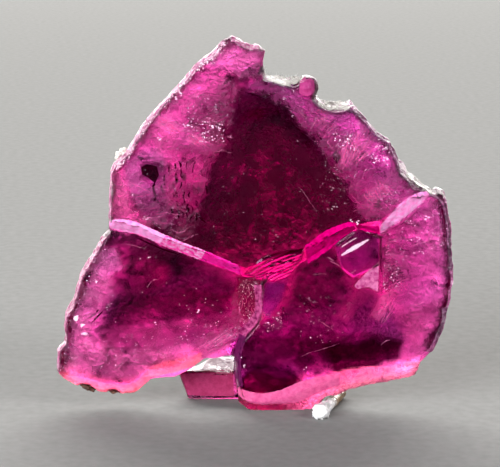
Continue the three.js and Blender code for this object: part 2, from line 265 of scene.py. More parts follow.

# Pale healed fractures and scratches, and a painted highlight on the knob: runs of pixels and the width in
# millimetres
FRACTURES_AND_HIGHLIGHT = [
    ([(127, 181), (140, 187), (153, 193)], 0.13), ([(155, 186), (163, 189), (169, 190)], 0.12),
    ([(137, 154), (145, 156), (149, 155)], 0.12), ([(148, 217), (160, 222), (176, 225)], 0.10),
    ([(163, 212), (172, 214), (182, 215)], 0.14), ([(171, 229), (179, 233), (188, 228)], 0.13),
    ([(181, 242), (190, 237), (198, 234)], 0.12), ([(130, 207), (138, 203), (146, 204)], 0.10),
    ([(297, 184), (306, 196), (312, 205), (317, 211)], 0.06), ([(351, 195), (357, 201), (362, 207)], 0.06),
    ([(371, 195), (380, 187), (388, 178), (394, 170)], 0.08), ([(324, 137), (330, 131), (336, 126)], 0.16),
    ([(311, 129), (315, 122), (319, 116)], 0.16), ([(299, 111), (302, 114), (305, 117)], 0.13),
    ([(358, 131), (357, 142), (352, 153)], 0.10), ([(352, 160), (358, 150), (366, 140)], 0.08),
    ([(300, 357), (312, 352), (330, 347), (339, 343)], 0.06), ([(305, 297), (312, 301), (319, 303)], 0.06),
    ([(312, 275), (320, 274), (328, 274)], 0.07), ([(328, 257), (331, 259), (334, 261)], 0.13),
    ([(330, 261), (336, 264), (341, 267)], 0.11), ([(350, 274), (353, 272), (356, 270)], 0.14),
    ([(409, 308), (418, 304), (427, 301)], 0.12), ([(421, 235), (430, 231), (437, 227)], 0.10),
    ([(434, 234), (440, 234), (446, 233)], 0.08), ([(318, 320), (326, 325), (333, 330)], 0.07),
    ([(412, 246), (420, 243), (430, 241)], 0.10),
    ([(380, 200), (386, 195), (390, 191)], 0.10), ([(213, 152), (222, 151), (231, 153)], 0.08),
    # The first run on the next line is the knob's painted highlight, not a crack.
    ([(308, 87), (310, 82), (312, 79)], 0.08), ([(381, 345), (386, 341), (390, 340)], 0.10),
    ([(195, 160), (199, 165), (203, 168)], 0.10), ([(147, 287), (152, 281), (158, 279)], 0.08),
    ([(122, 244), (132, 245), (146, 249)], 0.07), ([(232, 135), (228, 137), (234, 138)], 0.16),
    ([(326, 141), (331, 147), (335, 151)], 0.10), ([(346, 190), (352, 186), (360, 183)], 0.07),
]

# Skins that follow the surface, each between a top and a bottom run of pixels: name, colours, clearness, runs
PALE_PINK = [(0.3, (1.0, 0.16, 0.56)), (0.6, (1.0, 0.42, 0.80))]
HOT_PINK = [(0.3, (0.8, 0.0, 0.2)), (0.6, (1.0, 0.03, 0.40))]
DULL_PINK = [(0.35, (0.42, 0.03, 0.18)), (0.6, (0.75, 0.2, 0.44))]
FROSTED_BANDS = [
    # The riser's pale_band, blend_band, hot_band and wine_band skins are frost and partly painted glow of the back
    # light coming through the riser.
    ("pale_band", PALE_PINK, 0.1, [
        ([(109, 221), (122, 219), (136, 222), (150, 228), (166, 235)],
         [(110, 228), (122, 231), (137, 234), (149, 239), (160, 244)]),
        ([(380, 226), (398, 206), (415, 194), (430, 191)],
         [(381, 233), (400, 221), (417, 207), (431, 193)]),
    ]),
    # The bottom rim's pink skin is frost and partly painted glow of the back light.
    ("rim_band", [(0.3, (0.7, 0.07, 0.25)), (0.65, (0.95, 0.18, 0.44))], 0.3, [
        ([(235, 387), (247, 391), (262, 393), (280, 390), (297, 383), (318, 377), (340, 374)],
         [(237, 395), (246, 401), (258, 404), (278, 404), (298, 402), (316, 394), (340, 384)]),
    ]),
    ("foot_skin", [(0.3, (0.4, 0.03, 0.11)), (0.6, (0.55, 0.06, 0.19))], 0.2, [
        ([(179, 371), (200, 370), (233, 370)], [(188, 395), (208, 396), (234, 396)]),
    ]),
    ("knob_skin", [(0.3, (0.5, 0.03, 0.2)), (0.65, (0.75, 0.1, 0.38))], 0.5, [
        ([(300, 80), (306, 77), (314, 80)], [(299, 93), (307, 96), (315, 92)]),
    ]),
    ("seam_skin", [(0.38, (0.16, 0.006, 0.06)), (0.58, (0.5, 0.08, 0.24))], 0.1, [
        ([(254, 285), (254, 312), (238, 331)], [(262, 285), (261, 315), (245, 337)]),
    ]),
    # Painted sheen: a violet sheet along the lobe's left edge.
    ("lobe_sheen", [(0.35, (0.09, 0.004, 0.05)), (0.62, (0.24, 0.02, 0.14))], 0.5, [
        ([(239, 334), (235, 350), (233, 366), (235, 386)], [(247, 336), (242, 352), (241, 366), (243, 387)]),
    ]),
    ("dull_band", DULL_PINK, 0.3, [
        ([(354, 286), (366, 273), (379, 262)], [(358, 289), (368, 287), (378, 292)]),
    ]),
    # Painted highlight: pale sheets for the glint on the violet facet.
    ("glint", [(0.3, (0.8, 0.42, 0.68)), (0.6, (0.95, 0.74, 0.88))], 0.3, [
        ([(341, 255), (353, 246), (368, 239)], [(342, 256), (356, 249), (369, 240)]),
        ([(342, 246), (350, 241), (356, 238)], [(342, 247), (350, 242), (357, 238)]),
    ]),
    ("blend_band", [(0.42, (1.0, 0.02, 0.36)), (0.58, (1.0, 0.4, 0.76))], 0.15, [
        ([(166, 235), (182, 242), (206, 251)], [(160, 244), (174, 250), (200, 260)]),
    ]),
    ("hot_band", HOT_PINK, 0.15, [
        ([(206, 251), (222, 258), (240, 266)], [(200, 260), (220, 267), (241, 275)]),
    ]),
    ("wine_band", [(0.3, (0.42, 0.0, 0.08)), (0.65, (0.78, 0.0, 0.22))], 0.15, [
        ([(305, 246), (325, 231), (345, 223), (352, 222)], [(308, 264), (327, 251), (345, 236), (356, 229)]),
        ([(352, 222), (366, 226), (379, 226)], [(358, 229), (369, 232), (380, 234)]),
    ]),
]
SHEET_LIFT = 0.03
SHEET_DEPTH = 0.05
# How far, front to back, a sheet may stray from its middle depth
SHEET_REACH = 1.8

# Veils of fibres: the run where they start, the run where they end, how many, and how much of the way each covers
FIBRE_BUNDLES = [
    ([(338, 172), (344, 170), (352, 168)], [(350, 122), (366, 126), (384, 140)], 120, 0.45),
    ([(360, 190), (372, 182), (380, 178)], [(372, 212), (384, 206), (396, 196)], 50, 0.6),
    ([(154, 113), (152, 122)], [(186, 130), (182, 138)], 60, 0.5),
    ([(186, 130), (182, 138)], [(218, 147), (212, 154)], 60, 0.5),
    ([(237, 280), (246, 281), (256, 283)], [(240, 325), (250, 322), (257, 318)], 14, 0.3),
    ([(196, 350), (206, 358)], [(238, 322), (244, 332)], 90, 0.35),
    ([(128, 196), (132, 214), (150, 224)], [(160, 192), (170, 208), (184, 222)], 16, 0.35),
    ([(382, 244), (384, 290)], [(402, 236), (410, 278)], 60, 0.3),
    ([(372, 322), (384, 326)], [(388, 290), (402, 292)], 40, 0.5),
    ([(318, 116), (322, 134)], [(328, 108), (340, 122)], 30, 0.5),
    ([(306, 118), (326, 146), (340, 176)], [(322, 106), (344, 124), (356, 148)], 60, 0.25),
    ([(352, 212), (362, 196), (372, 184)], [(378, 206), (390, 196), (402, 184)], 50, 0.4),
]

# Single bright flakes, pale pink-white as painted glints: pixel and radius in millimetres
BRIGHT_FLAKES = [
    ((79, 322), 0.9), ((96, 282), 0.24), ((141, 259), 0.11), ((149, 258), 0.16), ((203, 280), 0.09),
    ((167, 284), 0.11), ((142, 292), 0.10), ((197, 289), 0.10), ((198, 311), 0.20), ((221, 313), 0.13),
    ((188, 325), 0.12), ((196, 325), 0.11), ((116, 322), 0.12), ((156, 323), 0.20), ((187, 335), 0.09),
    ((214, 227), 0.13), ((224, 213), 0.10), ((228, 211), 0.15), ((243, 212), 0.13), ((273, 230), 0.13),
    ((276, 235), 0.11), ((274, 241), 0.14), ((278, 237), 0.09), ((256, 227), 0.10), ((256, 239), 0.15),
    ((297, 141), 0.14), ((352, 220), 0.26), ((357, 223), 0.26), ((241, 357), 0.17), ((243, 365), 0.22),
    ((306, 368), 0.14), ((303, 370), 0.15), ((392, 275), 0.18), ((394, 280), 0.18), ((384, 283), 0.18),
    ((427, 218), 0.34), ((160, 138), 0.30), ((176, 98), 0.26), ((181, 94), 0.24), ((190, 126), 0.26),
    ((213, 127), 0.30), ((219, 130), 0.20), ((204, 122), 0.16), ((196, 131), 0.14), ((147, 219), 0.20),
    ((133, 195), 0.18), ((176, 159), 0.12), ((184, 164), 0.12), ((347, 139), 0.30), ((341, 146), 0.26),
    ((386, 148), 0.22), ((376, 160), 0.34), ((384, 159), 0.26), ((285, 98), 0.20), ((309, 338), 0.15),
    ((231, 137), 0.14), ((308, 87), 0.08), ((426, 325), 0.12), ((277, 319), 0.18), ((269, 323), 0.16),
]

# Fields of small bright grains, pale as painted sparkle: outline, how many, and the radii in millimetres
GRAIN_FIELDS = [
    ([(182, 118), (225, 118), (225, 142), (200, 142), (184, 132)], 90, (0.04, 0.12)),
    ([(176, 88), (200, 90), (230, 115), (215, 120), (180, 110)], 50, (0.03, 0.09)),
    ([(333, 132), (356, 132), (356, 150), (336, 150)], 60, (0.04, 0.12)),
    ([(374, 135), (392, 140), (392, 165), (372, 165)], 50, (0.04, 0.11)),
    ([(345, 115), (380, 130), (375, 170), (345, 185)], 60, (0.03, 0.08)),
    ([(383, 240), (425, 198), (447, 208), (450, 245), (400, 262), (384, 262)], 150, (0.03, 0.10)),
    ([(384, 265), (400, 265), (402, 292), (384, 292)], 35, (0.04, 0.10)),
    ([(74, 262), (112, 245), (115, 300), (95, 330), (68, 330)], 110, (0.03, 0.09)),
    ([(56, 345), (76, 340), (78, 376), (58, 372)], 70, (0.03, 0.09)),
    ([(80, 338), (180, 335), (230, 330), (150, 365), (80, 370)], 90, (0.03, 0.08)),
    ([(238, 278), (260, 282), (262, 330), (240, 330)], 110, (0.03, 0.08)),
    ([(205, 345), (240, 325), (240, 340), (205, 358)], 60, (0.03, 0.08)),
    ([(262, 312), (284, 312), (282, 330), (262, 332)], 40, (0.03, 0.09)),
    ([(175, 295), (230, 295), (230, 340), (180, 340)], 30, (0.03, 0.08)),
    ([(300, 295), (345, 295), (345, 345), (300, 345)], 40, (0.03, 0.07)),
    ([(280, 82), (310, 90), (318, 128), (292, 120)], 40, (0.03, 0.08)),
    ([(318, 132), (338, 150), (345, 195), (330, 190)], 40, (0.03, 0.08)),
    ([(120, 170), (190, 160), (190, 230), (130, 220)], 60, (0.03, 0.07)),
    ([(200, 150), (340, 150), (330, 240), (200, 240)], 30, (0.025, 0.05)),
    ([(320, 172), (350, 172), (350, 212), (320, 212)], 35, (0.03, 0.08)),
    ([(385, 180), (415, 182), (395, 210), (372, 212)], 45, (0.03, 0.08)),
]

# The frosted band along the long upper left edge, and the white chip on it
LEFT_EDGE = [(115, 166), (127, 152), (139, 132), (151, 115), (169, 95), (182, 82), (197, 65), (211, 55), (223, 41)]
# Pale crust on the broken top edges: runs of pixels, the nearest and furthest depth, and the thickness
CRUST_RUNS = [
    ([(264, 77), (272, 79), (281, 80), (290, 80)], (-3.9, -0.2), 0.06),
    ([(288, 79), (293, 75), (299, 75), (303, 77)], (-3.4, -0.4), 0.22),
    ([(319, 100), (330, 102), (342, 101), (350, 105)], (-3.9, -0.2), 0.12),
    ([(408, 175), (416, 179), (426, 185), (438, 193)], (-3.6, -0.4), 0.05),
]
# Frosted skins on the slab's outer edges: name, colours, depth of the front edge, how far back they reach,
# thickness, lift, and runs of pixels that keep the slab on their right
EDGE_SKINS = [
    ("left_skin", [(0.36, (0.24, 0.03, 0.12)), (0.52, (0.44, 0.15, 0.27)), (0.64, (0.64, 0.42, 0.5))],
     UPPER_FRONT, (-4.66, 0.0), 0.1, 0.03, [
        [(105, 228), (104, 208), (107, 185), (113, 168), (127, 152), (139, 132), (151, 115), (169, 95), (182, 82),
         (197, 65), (211, 55), (223, 41)],
        [(231, 37), (240, 42), (250, 45), (264, 47)],
    ]),
    ("right_skin", [(0.36, (0.06, 0.008, 0.04)), (0.52, (0.18, 0.04, 0.12)), (0.66, (0.36, 0.14, 0.27))],
     UPPER_FRONT, (-4.66, 0.0), 0.1, 0.03, [
        [(346, 103), (354, 106), (364, 111), (375, 120), (386, 134), (394, 148), (401, 162), (408, 175)],
    ]),
    ("lower_left_skin", [(0.36, (0.2, 0.03, 0.1)), (0.52, (0.4, 0.13, 0.23)), (0.64, (0.6, 0.36, 0.45))],
     LOWER_LEFT_FRONT, (-3.28, 1.0), 0.1, 0.03, [
        [(58, 372), (58, 350), (62, 332), (72, 300), (84, 272), (95, 252), (104, 236)],
    ]),
    ("lower_right_skin", [(0.36, (0.14, 0.015, 0.08)), (0.52, (0.32, 0.08, 0.2)), (0.66, (0.52, 0.25, 0.4))],
     LOWER_RIGHT_FRONT, (-3.98, 1.0), 0.1, 0.03, [
        [(440, 196), (448, 212), (453, 245), (455, 280), (450, 315), (441, 340), (430, 356)],
    ]),
    ("crust_ground", [(0.36, (0.1, 0.02, 0.06)), (0.52, (0.24, 0.08, 0.16)), (0.66, (0.4, 0.24, 0.3))],
     UPPER_FRONT, (-4.4, 0.0), 0.02, 0.004, [
        [(258, 74), (272, 79), (281, 80), (296, 81)],
        [(312, 96), (322, 101), (330, 102), (342, 101), (354, 106)],
        [(402, 164), (408, 175), (416, 179), (426, 185), (442, 197)],
    ]),
]
# How much of its height above the front edge a crusted rim keeps, and how far its back sinks
RIM_KEPT = 0.35
RIM_DROP = 0.35
CRUST_COLUMNS = 70
CRUST_ROWS = 24
FIBRE_RUN = [(264, 74), (280, 78), (300, 76)]
FIBRE_COUNT = 60

CHIP = [((122, 150), 0.42), ((119, 154), 0.40), ((124, 154), 0.38), ((117, 158), 0.30), ((121, 158), 0.30),
        ((125, 149), 0.22), ((118, 161), 0.20), ((127, 152), 0.18)]


def look_at(obj, target):
    direction = Vector(target) - obj.location
    obj.rotation_euler = direction.to_track_quat("-Z", "Y").to_euler()


def add_camera():
    data = bpy.data.cameras.new("camera")
    data.lens = SENSOR_WIDTH * PIXELS_PER_MM * CAMERA_DISTANCE / IMAGE_WIDTH
    data.sensor_width = SENSOR_WIDTH
    data.clip_start = 0.01
    data.clip_end = 20.0
    camera = bpy.data.objects.new("camera", data)
    bpy.context.scene.collection.objects.link(camera)
    back = Vector((0.0, -math.cos(CAMERA_ELEVATION), math.sin(CAMERA_ELEVATION)))
    camera.location = (CAMERA_TARGET + back * CAMERA_DISTANCE) * MM
    look_at(camera, CAMERA_TARGET * MM)
    bpy.context.scene.camera = camera


def camera_ray(px, py):
    """The camera's place and the direction in which it sees a pixel, in millimetres."""
    forward = Vector((0.0, math.cos(CAMERA_ELEVATION), -math.sin(CAMERA_ELEVATION)))
    up = Vector((0.0, math.sin(CAMERA_ELEVATION), math.cos(CAMERA_ELEVATION)))
    focal = PIXELS_PER_MM * CAMERA_DISTANCE
    across = (px - IMAGE_CENTRE[0]) / focal
    rise = (IMAGE_CENTRE[1] - py) / focal
    start = CAMERA_TARGET - forward * CAMERA_DISTANCE
    return start, forward + up * rise + Vector((across, 0.0, 0.0))


def from_pixel(px, py, y):
    """The point at depth y, in millimetres, that the camera sees at a pixel."""
    start, ray = camera_ray(px, py)
    return start + ray * ((y - start.y) / ray.y)


def area_light(name, location, target, size, energy, colour=(1.0, 1.0, 1.0)):
    data = bpy.data.lights.new(name, "AREA")
    data.shape = "RECTANGLE"
    data.size = size[0]
    data.size_y = size[1]
    data.energy = energy
    data.color = colour
    light = bpy.data.objects.new(name, data)
    bpy.context.scene.collection.objects.link(light)
    light.location = Vector(location)
    look_at(light, target)
    return light


def add_lights():
    centre = Vector((0.0, 0.0, 0.02))
    area_light("window_behind", (-0.2, 1.7, 0.72), (-0.2, 0.0, 0.72), (2.4, 1.4), 175.0, (1.0, 0.98, 0.95))
    area_light("fill_right", (1.3, -1.0, 0.8), centre, (0.6, 0.6), 22.0, (1.0, 0.97, 0.97))
    area_light("fill_front", (-1.1, -1.3, 0.55), centre, (1.6, 0.8), 60.0, (0.96, 0.98, 1.0))
    world = bpy.data.worlds.new("studio")
    world.use_nodes = True
    background = world.node_tree.nodes["Background"]
    background.inputs["Color"].default_value = (0.82, 0.85, 0.88, 1.0)
    background.inputs["Strength"].default_value = 0.12
    scene = bpy.context.scene
    scene.world = world
    scene.cycles.max_bounces = 24
    scene.cycles.transmission_bounces = 24
    scene.cycles.transparent_max_bounces = 16
    view = scene.view_settings
    view.view_transform = "Standard"
    view.use_curve_mapping = True
    view.curve_mapping.black_level = (0.005, 0.005, 0.005)
    view.curve_mapping.update()


def node_material(name):
    material = bpy.data.materials.new(name)
    material.use_nodes = True
    tree = material.node_tree
    return material, tree, tree.nodes["Principled BSDF"]


def object_noise(tree, scale, detail=4.0, roughness=0.5, stretch=(1.0, 1.0, 1.0), distortion=0.0):
    coordinates = tree.nodes.new("ShaderNodeTexCoord")
    mapping = tree.nodes.new("ShaderNodeMapping")
    mapping.inputs["Scale"].default_value = stretch
    texture = tree.nodes.new("ShaderNodeTexNoise")
    texture.inputs["Scale"].default_value = scale
    texture.inputs["Detail"].default_value = detail
    texture.inputs["Roughness"].default_value = roughness
    texture.inputs["Distortion"].default_value = distortion
    tree.links.new(coordinates.outputs["Object"], mapping.inputs["Vector"])
    tree.links.new(mapping.outputs["Vector"], texture.inputs["Vector"])
    return texture.outputs["Fac"]


def attribute_node(tree, name):
    node = tree.nodes.new("ShaderNodeAttribute")
    node.attribute_name = name
    return node


def remap(tree, value, low, high, from_low=0.0, from_high=1.0):
    node = tree.nodes.new("ShaderNodeMapRange")
    node.inputs["From Min"].default_value = from_low
    node.inputs["From Max"].default_value = from_high
    node.inputs["To Min"].default_value = low
    node.inputs["To Max"].default_value = high
    tree.links.new(value, node.inputs["Value"])
    return node.outputs["Result"]


def colour_ramp(tree, value, stops):
    node = tree.nodes.new("ShaderNodeValToRGB")
    elements = node.color_ramp.elements
    while len(elements) < len(stops):
        elements.new(0.5)
    for element, (position, colour) in zip(elements, stops):
        element.position = position
        element.color = (*colour, 1.0)
    tree.links.new(value, node.inputs["Fac"])
    return node.outputs["Color"]


def multiply_colours(tree, first, second):
    node = tree.nodes.new("ShaderNodeMix")
    node.data_type = "RGBA"
    node.blend_type = "MULTIPLY"
    node.inputs["Factor"].default_value = 1.0
    tree.links.new(first, node.inputs["A"])
    tree.links.new(second, node.inputs["B"])
    return node.outputs["Result"]


def mix_colours(tree, factor, first, second):
    node = tree.nodes.new("ShaderNodeMix")
    node.data_type = "RGBA"
    tree.links.new(factor, node.inputs["Factor"])
    node.inputs["A"].default_value = (*first, 1.0)
    tree.links.new(second, node.inputs["B"])
    return node.outputs["Result"]


def arithmetic(tree, operation, first, second):
    node = tree.nodes.new("ShaderNodeMath")
    node.operation = operation
    node.use_clamp = True
    for socket, value in zip(node.inputs, (first, second)):
        if isinstance(value, float):
            socket.default_value = value
        else:
            tree.links.new(value, socket)
    return node.outputs["Value"]


def crack_lines(tree, scale):
    """Fine grooves between uneven cells, from 0 in a groove to 1 away from it."""
    coordinates = tree.nodes.new("ShaderNodeTexCoord")
    cells = tree.nodes.new("ShaderNodeTexVoronoi")
    cells.feature = "DISTANCE_TO_EDGE"
    cells.inputs["Scale"].default_value = scale
    tree.links.new(coordinates.outputs["Object"], cells.inputs["Vector"])
    return remap(tree, cells.outputs["Distance"], 0.0, 1.0, 0.0, 0.08)


def bump_chain(tree, shader, layers):
    """Stacked bump nodes. Each layer is its height, its strength, and its depth in metres."""
    normal = None
    for height, strength, distance in layers:
        bump = tree.nodes.new("ShaderNodeBump")
        bump.inputs["Distance"].default_value = distance
        if isinstance(strength, float):
            bump.inputs["Strength"].default_value = strength
        else:
            tree.links.new(strength, bump.inputs["Strength"])
        tree.links.new(height, bump.inputs["Height"])
        if normal is not None:
            tree.links.new(normal, bump.inputs["Normal"])
        normal = bump.outputs["Normal"]
    tree.links.new(normal, shader.inputs["Normal"])


def floor_material():
    material, tree, shader = node_material("pale_floor")
    stops = [(0.3, (0.215, 0.215, 0.21)), (0.7, (0.245, 0.245, 0.24))]
    colour = colour_ramp(tree, object_noise(tree, 900.0), stops)
    tree.links.new(colour, shader.inputs["Base Color"])
    shader.inputs["Roughness"].default_value = 1.0
    shader.inputs["Specular IOR Level"].default_value = 0.0
    return material


def crystal_material():
    """Clear tourmaline: plain transmission and absorption, tinted by zone and clouded by frost."""
    material, tree, shader = node_material("tourmaline")
    shader.inputs["Transmission Weight"].default_value = 1.0
    shader.inputs["IOR"].default_value = CRYSTAL_IOR
    shader.inputs["Specular Tint"].default_value = CRYSTAL_GLOSS
    tint = attribute_node(tree, "tint").outputs["Color"]
    mottle_stops = [(0.3, (0.66, 0.54, 0.74)), (0.62, (1.0, 1.0, 1.0))]
    mottle = colour_ramp(tree, object_noise(tree, 420.0, 5.0, 0.6, distortion=0.4), mottle_stops)
    frost = attribute_node(tree, "frost").outputs["Fac"]
    grit = attribute_node(tree, "grit").outputs["Fac"]
    speckle_stops = [(0.36, (0.3, 0.06, 0.24)), (0.47, (0.78, 0.6, 0.78)), (0.6, (1.0, 1.0, 1.0))]
    speckle = colour_ramp(tree, object_noise(tree, 1700.0, 6.0, 0.75, distortion=1.0), speckle_stops)
    speckled = mix_colours(tree, grit, (1.0, 1.0, 1.0), speckle)
    colour = multiply_colours(tree, multiply_colours(tree, tint, mottle), speckled)
    tree.links.new(colour, shader.inputs["Base Color"])

    cloud = remap(tree, object_noise(tree, 700.0, 5.0, 0.65, distortion=0.6), 0.3, 1.2, 0.35, 0.65)
    clouded = arithmetic(tree, "MULTIPLY", frost, cloud)
    tree.links.new(remap(tree, clouded, 0.04, 0.6), shader.inputs["Roughness"])
    grain = object_noise(tree, 2400.0, 4.0, 0.65, distortion=0.5)
    ripple = object_noise(tree, 550.0, 3.0, 0.5)
    crackle = crack_lines(tree, 800.0)
    bump_chain(tree, shader, [
        (ripple, 0.2, 0.00006),
        (grain, remap(tree, clouded, 0.02, 1.0), 0.0003),
        (crackle, remap(tree, grit, 0.0, 0.4), 0.00008),
    ])
    absorption = tree.nodes.new("ShaderNodeVolumeAbsorption")
    absorption.inputs["Color"].default_value = CRYSTAL_ABSORPTION
    absorption.inputs["Density"].default_value = CRYSTAL_DENSITY
    output = tree.nodes["Material Output"]
    tree.links.new(absorption.outputs["Volume"], output.inputs["Volume"])
    return material


def add_floor():
    mesh = bpy.data.meshes.new("floor")
    half = 3.0
    corners = [(-half, -half, 0), (half, -half, 0), (half, half, 0), (-half, half, 0)]
    mesh.from_pydata(corners, [], [(0, 1, 2, 3)])
    floor = bpy.data.objects.new("floor", mesh)
    bpy.context.scene.collection.objects.link(floor)
    mesh.materials.append(floor_material())


def smooth_step(value, low, high):
    t = np.clip((value - low) / (high - low), 0.0, 1.0)
    return t * t * (3 - 2 * t)


def noise_at(points, scale, octaves=3, offset=0.0):
    """Fractal noise from about -1 to 1 at each point; scale is its wavelength in millimetres."""
    shift = Vector((offset, offset * 0.7, -offset))
    values = [noise.fractal(Vector(point) + shift, 1.0, 2.0, octaves) for point in points / scale]
    return np.array(values)


def mesh_arrays(mesh):
    points = np.empty(len(mesh.vertices) * 3)
    mesh.vertices.foreach_get("co", points)
    normals = np.empty(len(mesh.vertices) * 3)
    mesh.vertices.foreach_get("normal", normals)
    return points.reshape(-1, 3), normals.reshape(-1, 3)


def edge_array(mesh):
    edges = np.empty(len(mesh.edges) * 2, dtype=np.int64)
    mesh.edges.foreach_get("vertices", edges)
    return edges.reshape(-1, 2)


def relax(values, edges, rounds, weight=None):
    """Moves each vertex's value towards its neighbours' average, round after round."""
    degree = np.bincount(edges.ravel(), minlength=len(values)).reshape(-1, 1)
    result = values.copy()
    for _ in range(rounds):
        total = np.zeros_like(result)
        for k in range(result.shape[1]):
            total[:, k] += np.bincount(edges[:, 0], result[edges[:, 1], k], len(values))
            total[:, k] += np.bincount(edges[:, 1], result[edges[:, 0], k], len(values))
        step = total / degree - result
        result += step * (0.6 if weight is None else weight.reshape(-1, 1) * 0.6)
    return result


def zone_outline(pixels, depth):
    places = [from_pixel(px, py, depth) for px, py in pixels]
    return np.array([(place.x, place.z) for place in places])


def distance_inside(points, outline):
    """How far each point's x and z lie inside an outline, in millimetres; negative outside."""
    flat = points[:, (0, 2)]
    nearest = np.full(len(flat), np.inf)
    inside = np.zeros(len(flat), dtype=bool)
    for start, end in zip(outline, np.roll(outline, -1, axis=0)):
        edge = end - start
        along = np.clip(((flat - start) @ edge) / (edge @ edge), 0.0, 1.0)
        gap = flat - start - along.reshape(-1, 1) * edge
        nearest = np.minimum(nearest, np.hypot(gap[:, 0], gap[:, 1]))
        if start[1] != end[1]:
            crosses = (start[1] > flat[:, 1]) != (end[1] > flat[:, 1])
            x_cross = start[0] + (flat[:, 1] - start[1]) / edge[1] * edge[0]
            inside ^= crosses & (flat[:, 0] < x_cross)
    return np.where(inside, nearest, -nearest)


def apply_modifiers(piece):
    graph = bpy.context.evaluated_depsgraph_get()
    final = bpy.data.meshes.new_from_object(piece.evaluated_get(graph))
    old = piece.data
    piece.modifiers.clear()
    piece.data = final
    bpy.data.meshes.remove(old)


def remeshed_copy(node, name, voxel):
    """A copy of a CAD node's mesh, in millimetres, with even fine faces."""
    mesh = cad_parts[node].data.copy()
    mesh.name = name
    mesh.materials.clear()
    mesh.transform(Matrix.Scale(1 / MM, 4))
    piece = bpy.data.objects.new(name, mesh)
    bpy.context.scene.collection.objects.link(piece)
    remesh = piece.modifiers.new("remesh", "REMESH")
    remesh.mode = "VOXEL"
    remesh.voxel_size = voxel
    apply_modifiers(piece)
    return piece


def subdivide_where(mesh, chosen, cuts):
    """Cuts the edges whose two ends are both chosen into shorter ones."""
    work = bmesh.new()
    work.from_mesh(mesh)
    work.verts.ensure_lookup_table()
    edges = [edge for edge in work.edges if all(chosen[vert.index] for vert in edge.verts)]
    bmesh.ops.subdivide_edges(work, edges=edges, cuts=cuts, use_grid_fill=True)
    work.to_mesh(mesh)
    work.free()


def finish_piece(piece, material, slot, *replaced):
    """Scales a millimetre piece to metres, gives it its material and ties it to the object."""
    piece.data.transform(Matrix.Scale(MM, 4))
    piece.data.update()
    piece.data.materials.append(material)
    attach(piece, "root")
    if replaced:
        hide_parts(*replaced)


def shards(points, spacing, slope, seed, lean=0.0):
    """Height of a surface broken into flat shards, each with its own tilt and level.

    With a lean, each shard is also higher towards its top.
    """
    chooser = random.Random(seed)
    low = points.min(0)
    high = points.max(0)
    count = int(np.prod(np.maximum(high - low, spacing) / spacing))
    places = [Vector([chooser.uniform(low[k], high[k]) for k in range(3)]) for _ in range(count)]
    tilts = [Vector([chooser.gauss(0, slope) for _ in range(3)]) for _ in range(count)]
    levels = [chooser.gauss(0, slope * spacing * 0.2) for _ in range(count)]
    tree = KDTree(count)
    for i, place in enumerate(places):
        tree.insert(place, i)
    tree.balance()
    heights = np.empty(len(points))
    rises = np.empty(len(points))
    for i, point in enumerate(points):
        place, nearest, _ = tree.find(point)
        heights[i] = tilts[nearest].dot(Vector(point) - place) + levels[nearest]
        rises[i] = point[2] - place.z
    return heights + lean * rises


def set_values(mesh, name, values):
    mesh.attributes.new(name, "FLOAT", "POINT").data.foreach_set("value", values.astype(np.float32))


def near_creases(points):
    """Which front vertices lie near the ledge, the lens, the facet or the lobe's left edge."""
    chosen = np.zeros(len(points), dtype=bool)
    for pixels, depth, reach in CREASES:
        run = zone_outline(pixels, depth)
        for start, end in zip(run[:-1], run[1:]):
            edge = end - start
            offset = points[:, (0, 2)] - start
            along = np.clip((offset @ edge) / (edge @ edge), 0.0, 1.0).reshape(-1, 1)
            chosen |= np.linalg.norm(offset - along * edge, axis=1) < reach
    return chosen & (points[:, 1] < -1.5)


def crisp(points, chosen):
    """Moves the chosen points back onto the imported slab's own flat faces."""
    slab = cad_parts["tourmaline_slab"].data
    corners = [vertex.co / MM for vertex in slab.vertices]
    surface = BVHTree.FromPolygons(corners, [tuple(face.vertices) for face in slab.polygons])
    result = points.copy()
    for i in np.nonzero(chosen)[0]:
        result[i] = surface.find_nearest(Vector(points[i]))[0]
    return result


def lower_rims(points):
    """Brings the crusted rims down towards the front edge that hides them."""
    result = points.copy()
    for run, _, _ in CRUST_RUNS:
        edge = zone_outline(run, UPPER_FRONT)
        order = np.argsort(edge[:, 0])
        level = np.interp(points[:, 0], edge[order, 0], edge[order, 1])
        near = smooth_step(points[:, 0], edge[:, 0].min() - 0.1, edge[:, 0].min() + 0.3)
        near *= 1 - smooth_step(points[:, 0], edge[:, 0].max() - 0.3, edge[:, 0].max() + 0.1)
        rise = points[:, 2] - level
        near *= 1 - smooth_step(rise, 0.8, 1.4)
        result[:, 2] -= near * (points[:, 1] > -4.5) * (1 - RIM_KEPT) * np.maximum(rise, 0)
        result[:, 2] -= near * smooth_step(points[:, 1], -4.5, -1.5) * RIM_DROP * smooth_step(rise, -1.2, 0.0)
    return result


def lens_relief(points):
    """Height of the lens, a low dome cut into overlapping curved layers, and where its layers glow."""
    outline = zone_outline(LENS, UPPER_FRONT)
    depth_in = distance_inside(points, outline)
    left, right = outline[0], outline[5]
    along = (right - left) / np.linalg.norm(right - left)
    offset = points[:, (0, 2)] - left
    run = offset @ along
    across = offset @ np.array([-along[1], along[0]])
    bow = across + 0.035 * (run - np.linalg.norm(right - left) / 2) ** 2
    wander = noise_at(points, 1.8, 2, 41.0) * 0.12
    phase = ((bow + wander) / 2.6 * LENS_LAYERS) % 1.0
    rim = smooth_step(depth_in, 0.0, 0.35)
    dome = smooth_step(depth_in, 0.0, 1.2) * LENS_HEIGHT
    return dome + rim * LAYER_STEP * phase, rim * smooth_step(phase, 0.2, 0.6)


